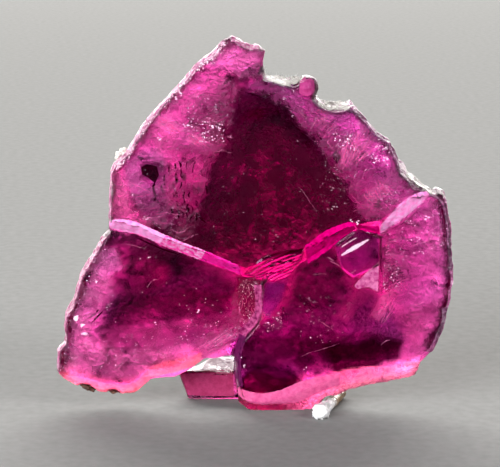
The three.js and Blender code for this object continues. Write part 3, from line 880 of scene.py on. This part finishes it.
def add_crystal():
    piece = remeshed_copy("tourmaline_slab", "crystal_slab", VOXEL)
    mesh = piece.data
    points, _ = mesh_arrays(mesh)
    subdivide_where(mesh, near_creases(points), 2)
    points, _ = mesh_arrays(mesh)
    in_lens = distance_inside(points, zone_outline(LENS, UPPER_FRONT)) > -0.3
    subdivide_where(mesh, in_lens & (points[:, 1] < -2.0), 1)
    points, normals = mesh_arrays(mesh)
    edges = edge_array(mesh)
    smooth_normals = relax(normals, edges, 4)
    smooth_normals /= np.linalg.norm(smooth_normals, axis=1).reshape(-1, 1)
    front = smooth_step(-smooth_normals[:, 1], 0.80, 0.95)
    back = smooth_step(smooth_normals[:, 1], 0.15, 0.5)
    side = np.clip(1 - front - back, 0, 1)
    off_base = smooth_step(points[:, 2], 0.02, 0.5)

    on_foot = (1 - smooth_step(points[:, 0], -1.5, 0.5)) * (1 - smooth_step(points[:, 2], 4.0, 6.5))
    rounded = smooth_step(points[:, 1], -0.5, 1.5) * smooth_step(points[:, 2], 0.3, 2.0)
    points = crisp(points, rounded < 0.01)
    flatter_top = 1 - 0.8 * smooth_step(points[:, 2], 20.0, 27.0)
    points = relax(points, edges, 218, rounded * (1 - on_foot) * flatter_top)
    points = lower_rims(points)

    tint = np.ones((len(points), 4))
    tint[:, :3] = BODY_TINT
    haze = np.full(len(points), 0.12)
    glassy = np.zeros(len(points))
    lean = np.zeros(len(points))
    warp = noise_at(points, 2.5, 3, 31.0) * 0.6
    for name, depth, pixels, feather, colour, frosting in ZONES:
        depth_in = distance_inside(points, zone_outline(pixels, depth)) + warp * min(feather, 1.0)
        weight = smooth_step(depth_in, -feather / 2, feather / 2)
        haze += weight * (frosting - haze)
        lean += weight * (BACK_LEAN.get(name, 0.0) - lean)
        if name in GLASSY_EDGES:
            glassy = np.maximum(glassy, weight)
        tint[:, :3] += weight.reshape(-1, 1) * (np.array(colour) - tint[:, :3])
    haze += on_foot * (points[:, 1] > 1.5) * (0.5 - haze)
    tint[:, :3] += (on_foot * (points[:, 1] > 1.5)).reshape(-1, 1) * (np.array(FOOT_TINT) - tint[:, :3])
    broken = smooth_step(haze, 0.15, 0.45)
    shattered = broken * (0.5 + 0.5 * smooth_step(points[:, 2], 10.0, 18.0))

    push = front * (noise_at(points, 7.0, 2) * 0.10 + noise_at(points, 2.2, 2, 5.0) * 0.025)
    push += back * (noise_at(points, 3.5, 2, 9.0) * 0.2 + shattered * shards(points, 0.8, 0.16, 11, lean))
    push += side * (noise_at(points, 0.7, 3, 17.0) * 0.05 + noise_at(points, 1.6, 3, 23.0) * 0.08)
    push = (push - 0.04 - 0.06 * back) * off_base * (1 - 0.7 * on_foot)
    lens_height, lens_glow = lens_relief(points)
    push += (points[:, 1] < -2.0) * lens_height
    moved = points + smooth_normals * push.reshape(-1, 1)
    low, high = (np.array(corner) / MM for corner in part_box("tourmaline_slab"))
    moved = np.clip(moved, low, high)
    mesh.vertices.foreach_set("co", moved.ravel())

    rough_side = side * (1 - 0.8 * glassy)
    low_back = 1 - smooth_step(points[:, 2], 12.0, 20.0)
    frost = np.clip(rough_side + back * (0.5 + 0.4 * np.maximum(broken, low_back)) + front * haze, 0, 1)
    grit = np.clip(rough_side * 0.8 + back * (0.05 + 0.15 * broken) + front * haze, 0, 1)
    set_values(mesh, "frost", frost)
    set_values(mesh, "grit", grit)
    tint[:, :3] += (lens_height > 0).reshape(-1, 1) * (np.array(LENS_DARK) - tint[:, :3])
    tint[:, :3] += lens_glow.reshape(-1, 1) * (1 - tint[:, :3])
    colours = mesh.attributes.new("tint", "FLOAT_COLOR", "POINT")
    strength = 0.6 + 0.8 * np.maximum(smooth_step(-points[:, 1], 0.0, 2.0), side).reshape(-1, 1)
    tint[:, :3] = tint[:, :3] ** strength
    colours.data.foreach_set("color", tint.astype(np.float32).ravel())
    mesh.polygons.foreach_set("use_smooth", np.ones(len(mesh.polygons), dtype=bool))
    faces = [tuple(face.vertices) for face in mesh.polygons]
    surface = BVHTree.FromPolygons([Vector(point) for point in moved], faces)
    finish_piece(piece, crystal_material(), "tourmaline", "tourmaline_slab")
    return surface


def seen_on(surface, px, py):
    """Where the camera sees a surface at a pixel, and the surface's normal there."""
    start, ray = camera_ray(px, py)
    place, normal, _, _ = surface.ray_cast(start, ray.normalized())
    return place, normal


def sealed_under(surface, px, py, depth):
    """A place under the surface, in the crystal, in line with a pixel."""
    place, _ = seen_on(surface, px, py)
    return place + camera_ray(px, py)[1].normalized() * depth if place else None


def random_turn(chooser):
    axis = Vector([chooser.gauss(0, 1) for _ in range(3)]).normalized()
    return Matrix.Rotation(chooser.uniform(0, math.tau), 3, axis)


def icosahedron():
    golden = (1 + math.sqrt(5)) / 2
    corners = []
    for a in (-1, 1):
        for b in (-golden, golden):
            corners += [Vector((0, a, b)), Vector((a, b, 0)), Vector((b, 0, a))]
    corners = [corner.normalized() for corner in corners]
    hull = bmesh.new()
    for corner in corners:
        hull.verts.new(corner)
    bmesh.ops.convex_hull(hull, input=hull.verts)
    hull.verts.index_update()
    points = [vert.co.copy() for vert in hull.verts]
    faces = [tuple(vert.index for vert in face.verts) for face in hull.faces]
    hull.free()
    return points, faces


CRUMB_POINTS, CRUMB_FACES = icosahedron()


def crumb(centre, radius, chooser):
    """An irregular grain."""
    turn = random_turn(chooser)
    stretch = [chooser.uniform(0.6, 1.2) for _ in range(3)]
    points = []
    for corner in CRUMB_POINTS:
        scaled = Vector([corner[k] * stretch[k] for k in range(3)]) * chooser.uniform(0.75, 1.1)
        points.append(centre + turn @ scaled * radius)
    return points, CRUMB_FACES


def flake(centre, normal, radius, chooser, thickness=0.05):
    """A thin irregular plate that lies nearly along a surface."""
    tilt = Matrix.Rotation(chooser.gauss(0, 0.35), 3, Vector((1, 0, 0))) @ normal
    side = tilt.cross(Vector((0, 0, 1))).normalized()
    rise = side.cross(tilt)
    count = chooser.randint(5, 7)
    start = chooser.uniform(0, math.tau)
    stretch = chooser.uniform(0.6, 1.0)
    points = []
    for level in (-0.5, 0.5):
        for i in range(count):
            angle = start + math.tau * i / count
            reach = radius * (0.75 + 0.25 * math.sin(angle * 3 + start))
            flat = side * math.cos(angle) * reach + rise * math.sin(angle) * reach * stretch
            points.append(centre + flat + tilt * thickness * level)
    faces = [tuple(reversed(range(count))), tuple(range(count, 2 * count))]
    faces += [(i, (i + 1) % count, (i + 1) % count + count, i + count) for i in range(count)]
    return points, faces


def strand(path, widths, flatness=1.0, sides=6):
    """A closed tapered tube along a path, thinner from front to back by its flatness."""
    points = []
    for i, place in enumerate(path):
        heading = (path[min(i + 1, len(path) - 1)] - path[max(i - 1, 0)]).normalized()
        side = heading.cross(Vector((0, 1, 0))).normalized()
        depth = side.cross(heading) * flatness
        for k in range(sides):
            angle = math.tau * k / sides
            points.append(place + (side * math.cos(angle) + depth * math.sin(angle)) * widths[i])
    faces = []
    for i in range(len(path) - 1):
        for k in range(sides):
            a = i * sides + k
            b = i * sides + (k + 1) % sides
            faces.append((a, a + sides, b + sides, b))
    last = (len(path) - 1) * sides
    faces.append(tuple(range(sides)))
    faces.append(tuple(reversed(range(last, last + sides))))
    return points, faces


def smooth_run(pixels, steps):
    """Evenly placed pixels along a run, rounded where it bends."""
    dense = []
    for i in range(steps + 1):
        t = i / steps * (len(pixels) - 1)
        k = min(int(t), len(pixels) - 2)
        f = t - k
        p0 = pixels[max(k - 1, 0)]
        p1 = pixels[k]
        p2 = pixels[k + 1]
        p3 = pixels[min(k + 2, len(pixels) - 1)]
        dense.append(tuple(
            0.5 * (2 * p1[j] + (p2[j] - p0[j]) * f + (2 * p0[j] - 5 * p1[j] + 4 * p2[j] - p3[j]) * f * f
                   + (3 * p1[j] - p0[j] - 3 * p2[j] + p3[j]) * f ** 3)
            for j in range(2)))
    return dense


def joined_piece(name, shapes):
    """One object from many closed shapes, each its points and its faces."""
    points = []
    faces = []
    for shape_points, shape_faces in shapes:
        offset = len(points)
        points.extend(shape_points)
        faces.extend(tuple(i + offset for i in face) for face in shape_faces)
    mesh = bpy.data.meshes.new(name)
    mesh.from_pydata(points, [], faces)
    work = bmesh.new()
    work.from_mesh(mesh)
    bmesh.ops.recalc_face_normals(work, faces=work.faces)
    work.to_mesh(mesh)
    work.free()
    piece = bpy.data.objects.new(name, mesh)
    bpy.context.scene.collection.objects.link(piece)
    return piece


def pixels_inside(outline, count, chooser):
    """Random pixels inside an outline of pixels."""
    flat = np.array(outline, dtype=float)
    low = flat.min(0)
    high = flat.max(0)
    chosen = []
    while len(chosen) < count:
        px = chooser.uniform(low[0], high[0])
        py = chooser.uniform(low[1], high[1])
        if distance_inside(np.array([[px, 0.0, py]]), flat)[0] > 0:
            chosen.append((px, py))
    return chosen


def stone_material(name, stops, scale, roughness, bump_depth, clearness=0.0, gloss=0.5, glow=0.0):
    """A grainy mineral: colours by noise, a rough surface, fine relief, and some glow of light let through."""
    material, tree, shader = node_material(name)
    shader.inputs["Transmission Weight"].default_value = clearness
    shader.inputs["Specular IOR Level"].default_value = gloss
    shader.inputs["Subsurface Weight"].default_value = glow
    shader.inputs["Subsurface Radius"].default_value = (1.0, 0.6, 0.85)
    shader.inputs["Subsurface Scale"].default_value = 0.8 * MM
    if clearness:
        shader.inputs["Specular Tint"].default_value = CRYSTAL_GLOSS
    grain = object_noise(tree, scale, 5.0, 0.65)
    tree.links.new(colour_ramp(tree, grain, stops), shader.inputs["Base Color"])
    tree.links.new(remap(tree, grain, roughness[0], roughness[1], 0.3, 0.7), shader.inputs["Roughness"])
    bump_chain(tree, shader, [(object_noise(tree, scale * 2.5, 4.0, 0.6), 0.8, bump_depth)])
    return material


def add_growth_tubes(surface):
    """Dark tubes, slits and flakes sealed just under the front surface."""
    chooser = random.Random(5)
    shapes = []
    for px, py in pixels_inside(TUBE_FIELD, TUBE_COUNT, chooser):
        length = chooser.uniform(4, 13)
        lean = chooser.gauss(0.1, 0.25)
        bend = chooser.gauss(0, 1.0)
        pixels = [(px, py), (px + lean * length / 2 + bend, py + length / 2), (px + lean * length, py + length)]
        shapes.append((pixels, chooser.uniform(0.03, 0.1), chooser.uniform(0.5, 2.0) * SEALED_DEPTH))
    for pixels in DARK_SLITS:
        shapes.append((pixels, 0.07, SEALED_DEPTH))
    shapes.append((DARK_STEM, 0.11, SEALED_DEPTH))
    tubes = []
    for pixels, width, depth in shapes:
        path = [sealed_under(surface, px, py, depth) for px, py in smooth_run(pixels, 8)]
        widths = [width * (0.25 + math.sin(math.pi * (0.05 + 0.9 * i / 8))) * chooser.uniform(0.7, 1.1)
                  for i in range(9)]
        tubes.append(strand(path, widths, 0.6))
    for outline in [DARK_FLAKE, *SMALL_DARK_FLAKES]:
        tubes.append(sealed_plate(surface, outline, SEALED_DEPTH, 0.25))
    stops = [(0.3, (0.02, 0.0, 0.006)), (0.7, (0.10, 0.004, 0.03))]
    material = stone_material("dark_tube", stops, 3000.0, (0.4, 0.7), 0.00004, gloss=0.0)
    finish_piece(joined_piece("growth_tubes", tubes), material, "dark_matrix")


def sealed_plate(surface, outline, depth, thickness):
    """A flat body under the surface with an outline of pixels."""
    front = [sealed_under(surface, px, py, depth) for px, py in outline]
    back = [sealed_under(surface, px, py, depth + thickness) for px, py in outline]
    count = len(outline)
    faces = [tuple(range(count)), tuple(reversed(range(count, 2 * count)))]
    faces += [(i, i + count, (i + 1) % count + count, (i + 1) % count) for i in range(count)]
    return front + back, faces


def add_fractures(surface):
    """Pale healed cracks and scratches that show on the front faces, and a painted highlight line on the knob."""
    chooser = random.Random(8)
    cracks = []
    for pixels, width in FRACTURES_AND_HIGHLIGHT:
        steps = 16
        path = [seen_on(surface, px + chooser.gauss(0, 0.25), py + chooser.gauss(0, 0.25))[0]
                for px, py in smooth_run(pixels, steps)]
        widths = [width * 0.2 * (0.15 + math.sin(math.pi * (0.04 + 0.92 * i / steps))) * chooser.uniform(0.2, 1.3)
                  for i in range(steps + 1)]
        cracks.append(strand(path, widths, 0.4))
    stops = [(0.35, (0.95, 0.12, 0.45)), (0.65, (1.0, 0.42, 0.7))]
    material = stone_material("healed_crack_and_highlight", stops, 4000.0, (0.3, 0.6), 0.00003, clearness=0.5, gloss=0.1)
    finish_piece(joined_piece("healed_fractures_and_highlight", cracks), material, "tourmaline")


def add_bright_flakes(surface):
    """Small cleavage flakes and grains that catch the light; their pale pink-white colour is a painted glint."""
    chooser = random.Random(21)
    shapes = []
    for (px, py), radius in BRIGHT_FLAKES:
        place, normal = seen_on(surface, px, py)
        for _ in range(3 if radius > 0.15 else 1):
            offset = Vector([chooser.gauss(0, radius * 0.45) for _ in range(3)])
            offset -= normal * offset.dot(normal)
            reach = chooser.uniform(0.3, 0.6)
            shapes.append(flake(place + offset, normal, radius * reach, chooser))
    for outline, count, radii in GRAIN_FIELDS:
        for px, py in pixels_inside(outline, count, chooser):
            place, normal = seen_on(surface, px, py)
            if place is None:
                continue
            radius = radii[0] + (radii[1] - radii[0]) * chooser.random() ** 3
            shapes.append(flake(place, normal, radius, chooser, 0.03))
    stops = [(0.3, (1.0, 0.34, 0.7)), (0.6, (1.0, 0.74, 0.92))]
    material = stone_material("bright_flake", stops, 2500.0, (0.1, 0.35), 0.00002, clearness=0.05, gloss=0.2)
    finish_piece(joined_piece("bright_flakes", shapes), material, "tourmaline")


def sheet_faces(rows, columns):
    """Faces of a closed sheet: a grid of front points, the same grid of back points, and the rim between."""
    width = columns + 1
    count = width * (rows + 1)
    faces = []
    for row in range(rows):
        for column in range(columns):
            a = row * width + column
            faces.append((a, a + 1, a + width + 1, a + width))
            faces.append((a + count, a + width + count, a + width + 1 + count, a + 1 + count))
    rim = list(range(width)) + [row * width + columns for row in range(1, rows + 1)]
    rim += [rows * width + column for column in range(columns - 1, -1, -1)]
    rim += [row * width for row in range(rows - 1, 0, -1)]
    for a, b in zip(rim, rim[1:] + rim[:1]):
        faces.append((a, a + count, b + count, b))
    return faces


def surface_sheet(surface, top, bottom, columns, rows, chooser):
    """A thin closed sheet that follows a surface between two runs of pixels."""
    upper = smooth_run(top, columns)
    lower = smooth_run(bottom, columns)
    pixels = []
    for row in range(rows + 1):
        for first, last in zip(upper, lower):
            f = row / rows
            jitter = 0.4 if row in (0, rows) else 0.0
            px = first[0] * (1 - f) + last[0] * f + chooser.uniform(-jitter, jitter)
            py = first[1] * (1 - f) + last[1] * f + chooser.uniform(-jitter, jitter)
            pixels.append((px, py))
    seen = [seen_on(surface, px, py)[0] for px, py in pixels]
    middle = float(np.median([place.y for place in seen if place]))
    front = []
    back = []
    for (px, py), place in zip(pixels, seen):
        if place is None or abs(place.y - middle) > SHEET_REACH:
            place = surface.find_nearest(from_pixel(px, py, middle))[0]
        heading = camera_ray(px, py)[1].normalized()
        front.append(place - heading * SHEET_LIFT)
        back.append(place + heading * SHEET_DEPTH)
    return front + back, sheet_faces(rows, columns)


def add_frosted_bands(surface):
    """Pale and hot pink skins on the ledge's riser and on cleaved faces below it. On the riser and the bottom rim
    their pink is frost and partly painted glow of the back light; the glint sheets are a painted highlight and
    lobe_sheen a painted sheen.
    """
    chooser = random.Random(13)
    for name, stops, clearness, bands in FROSTED_BANDS:
        sheets = [surface_sheet(surface, top, bottom, 40, 8, chooser) for top, bottom in bands]
        material = stone_material(name, stops, 2200.0, (0.35, 0.7), 0.00005, clearness=clearness, gloss=0.1)
        finish_piece(joined_piece(name, sheets), material, "tourmaline")


def add_fibre_bundles(surface):
    """Veils of fine pink fibres, each from a place on one run of pixels to its place on another."""
    chooser = random.Random(77)
    fibres = []
    for first, last, count, reach in FIBRE_BUNDLES:
        starts = smooth_run(first, 50)
        ends = smooth_run(last, 50)
        for _ in range(count):
            k = chooser.randrange(51)
            early = chooser.uniform(0.0, 1.0 - reach)
            late = early + reach * chooser.uniform(0.5, 1.0)
            bend = chooser.gauss(0, 1.6)
            drift = chooser.gauss(0, 2.0)
            path = []
            for i in range(7):
                f = early + (late - early) * i / 6
                px = starts[k][0] * (1 - f) + ends[k][0] * f + bend * math.sin(math.pi * i / 6) + drift * i / 6
                py = starts[k][1] * (1 - f) + ends[k][1] * f + chooser.gauss(0, 0.15)
                path.append(seen_on(surface, px, py)[0])
            if None in path:
                continue
            width = chooser.uniform(0.005, 0.018)
            fibres.append(strand(path, [width * k for k in (0.3, 0.8, 1.0, 1.2, 1.0, 0.7, 0.3)], sides=4))
    stops = [(0.3, (0.9, 0.06, 0.35)), (0.65, (1.0, 0.26, 0.6))]
    material = stone_material("veil_fibre", stops, 2500.0, (0.35, 0.6), 0.00002, clearness=0.5, gloss=0.1)
    finish_piece(joined_piece("veil_fibres", fibres), material, "tourmaline")


def add_edge_frost(surface):
    """Sugary grains along the upper left edge, and the white chip on it."""
    chooser = random.Random(34)
    grains = []
    for px, py in smooth_run(LEFT_EDGE, 700):
        inward = abs(chooser.gauss(0, 2.0)) + 0.5
        across = px + inward * 0.6 + chooser.gauss(0, 0.8)
        down = py + inward * 0.8 + chooser.gauss(0, 0.8)
        place, normal = seen_on(surface, across, down)
        if place is not None:
            grains.append(crumb(place, chooser.uniform(0.03, 0.09), chooser))
    stops = [(0.3, (0.95, 0.35, 0.62)), (0.6, (1.0, 0.8, 0.9))]
    material = stone_material("edge_frost", stops, 3000.0, (0.3, 0.6), 0.00004)
    finish_piece(joined_piece("edge_frost", grains), material, "tourmaline")

    chips = [crumb(from_pixel(px, py, -2.4), radius, chooser) for (px, py), radius in CHIP]
    stops = [(0.3, (0.80, 0.72, 0.62)), (0.65, (0.96, 0.94, 0.90))]
    material = stone_material("white_chip", stops, 2000.0, (0.5, 0.8), 0.00006)
    finish_piece(joined_piece("white_chip", chips), material, "pale_matrix")


def edge_place(surface, edge, outward, y):
    """Where an edge's surface is at depth y, looked for from outside along the outward direction."""
    level = Vector((edge.x, y, edge.z))
    place = surface.ray_cast(level + outward * 4.0, -outward, 7.0)[0]
    if place is None or not -0.9 < (place - level).dot(outward) < 0.9:
        place = surface.find_nearest(level)[0]
    return place


def edge_sheet(surface, run, front, depths, thickness, lift=0.0):
    """A lumpy sheet over the slab's edge behind a run of pixels; without a lift it is patchy all over."""
    edges = [from_pixel(px, py, front) for px, py in smooth_run(run, CRUST_COLUMNS)]
    outwards = []
    for before, after in zip(edges[:1] + edges[:-1], edges[1:] + edges[-1:]):
        along = after - before
        outwards.append(Vector((-along.z, 0.0, along.x)).normalized())
    outer = []
    inner = []
    for row in range(CRUST_ROWS + 1):
        y = depths[0] + (depths[1] - depths[0]) * row / CRUST_ROWS
        for column, (edge, outward) in enumerate(zip(edges, outwards)):
            place = edge_place(surface, edge, outward, y)
            lump = noise.fractal(place / 0.8, 1.0, 2.0, 4) + 0.5 * noise.fractal(place / 0.25, 1.0, 2.0, 2)
            depth = 0.1 + thickness * 0.4
            from_end = min(column, CRUST_COLUMNS - column, 2 * (CRUST_ROWS - row)) / 10
            fade = min(from_end, 1.0) if lift else 1.0
            height = max(lift * fade - 0.06 * (1 - fade) + thickness * (0.35 + lump), 0.01 - depth)
            outer.append(place + outward * height)
            inner.append(place - outward * depth)
    return outer + inner, sheet_faces(CRUST_ROWS, CRUST_COLUMNS)


def add_edge_skins(surface):
    """Thin frosted skins on the long broken edges."""
    for name, stops, front, depths, thickness, lift, runs in EDGE_SKINS:
        sheets = [edge_sheet(surface, run, front, depths, thickness, lift) for run in runs]
        material = stone_material(name, stops, 2600.0, (0.3, 0.7), 0.00012, gloss=0.3, glow=0.8)
        finish_piece(joined_piece(name, sheets), material, "tourmaline")


def add_cream_crust(surface):
    """Pale granular crust and fine fibres on the broken top edges."""
    chooser = random.Random(55)
    sheets = [edge_sheet(surface, run, UPPER_FRONT, depths, thickness) for run, depths, thickness in CRUST_RUNS]
    stops = [(0.3, (0.22, 0.17, 0.17)), (0.6, (0.40, 0.38, 0.35))]
    material = stone_material("cream_crust", stops, 1600.0, (0.4, 0.75), 0.00008, gloss=0.1)
    finish_piece(joined_piece("cream_crust", sheets), material, "pale_matrix")

    fibres = []
    for px, py in smooth_run(FIBRE_RUN, FIBRE_COUNT):
        edge = from_pixel(px + chooser.gauss(0, 1), py, UPPER_FRONT)
        place = edge_place(surface, edge, Vector((0, 0, 1)), chooser.uniform(-3.4, 0.2))
        lean = Vector((chooser.gauss(0, 0.35), chooser.gauss(0, 0.3), 1.0)).normalized()
        curl = Vector((chooser.gauss(0, 0.3), 0.0, 0.0))
        length = chooser.uniform(0.25, 0.6)
        path = [place + lean * length * t + curl * (t * t) * length for t in (-0.1, 0.25, 0.5, 0.75, 1.0)]
        fibres.append(strand(path, [0.012, 0.011, 0.009, 0.007, 0.004], sides=5))
    stops = [(0.3, (0.40, 0.44, 0.42)), (0.6, (0.58, 0.60, 0.58))]
    material = stone_material("pale_fibre", stops, 2500.0, (0.35, 0.6), 0.00002, clearness=0.3)
    finish_piece(joined_piece("pale_fibres", fibres), material, "pale_matrix")


def add_stub():
    """The matrix stub: an icy lumpy tip that turns to a brown shaft towards the back."""
    piece = remeshed_copy("matrix_stub", "stub", 0.09)
    mesh = piece.data
    points, normals = mesh_arrays(mesh)
    low, high = (np.array(corner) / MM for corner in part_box("matrix_stub"))
    along = (points[:, 1] - low[1]) / (high[1] - low[1])
    at_tip = 1 - smooth_step(along, 0.18, 0.34)
    relief = noise_at(points, 1.1, 3, 3.0) * 0.08 + shards(points, 0.6, 0.2, 4) * (0.3 + 0.7 * at_tip)
    moved = points + normals * (relief - 0.02).reshape(-1, 1)
    moved = np.clip(moved, low, high)
    mesh.vertices.foreach_set("co", moved.ravel())
    # The shaft turns brown towards the back.
    shaft_brown = np.clip(smooth_step(along, 0.35, 0.62) + noise_at(points, 0.8, 3, 7.0) * 0.25, 0, 1)
    mesh.attributes.new("shaft_brown", "FLOAT", "POINT").data.foreach_set("value", shaft_brown.astype(np.float32))
    mesh.polygons.foreach_set("use_smooth", np.ones(len(mesh.polygons), dtype=bool))

    material, tree, shader = node_material("stub_stone")
    grain = object_noise(tree, 2600.0, 5.0, 0.65)
    pale = colour_ramp(tree, grain, [(0.3, (0.62, 0.63, 0.66)), (0.65, (0.93, 0.93, 0.92))])
    brown = colour_ramp(tree, grain, [(0.3, (0.12, 0.06, 0.03)), (0.7, (0.42, 0.27, 0.15))])
    mix = tree.nodes.new("ShaderNodeMix")
    mix.data_type = "RGBA"
    tree.links.new(attribute_node(tree, "shaft_brown").outputs["Fac"], mix.inputs["Factor"])
    tree.links.new(pale, mix.inputs["A"])
    tree.links.new(brown, mix.inputs["B"])
    tree.links.new(mix.outputs["Result"], shader.inputs["Base Color"])
    tree.links.new(remap(tree, grain, 0.2, 0.6), shader.inputs["Roughness"])
    bump_chain(tree, shader, [(object_noise(tree, 5000.0, 4.0, 0.6), 0.7, 0.00005)])
    finish_piece(piece, material, "pale_matrix", "matrix_stub")


def add_fleck(node, seed):
    """A dark crumbly fleck that clings under the rim."""
    piece = remeshed_copy(node, node + "_crumbs", 0.07)
    mesh = piece.data
    points, normals = mesh_arrays(mesh)
    relief = noise_at(points, 0.7, 4, seed) * 0.16 + shards(points, 0.35, 0.35, seed)
    low, high = (np.array(corner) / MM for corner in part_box(node))
    moved = np.clip(points + normals * (relief - 0.05).reshape(-1, 1), low, high)
    mesh.vertices.foreach_set("co", moved.ravel())
    stops = [(0.3, (0.012, 0.006, 0.005)), (0.55, (0.09, 0.035, 0.02)), (0.75, (0.3, 0.12, 0.07))]
    material = stone_material(node + "_stone", stops, 1800.0, (0.5, 0.9), 0.00006)
    finish_piece(piece, material, "dark_matrix", node)


add_camera()
add_lights()
add_floor()
slab_surface = add_crystal()
add_growth_tubes(slab_surface)
add_fractures(slab_surface)
add_bright_flakes(slab_surface)
add_frosted_bands(slab_surface)
add_fibre_bundles(slab_surface)
add_edge_frost(slab_surface)
add_edge_skins(slab_surface)
add_cream_crust(slab_surface)
add_stub()
add_fleck("matrix_fleck_left", 61)
add_fleck("matrix_fleck_right", 62)
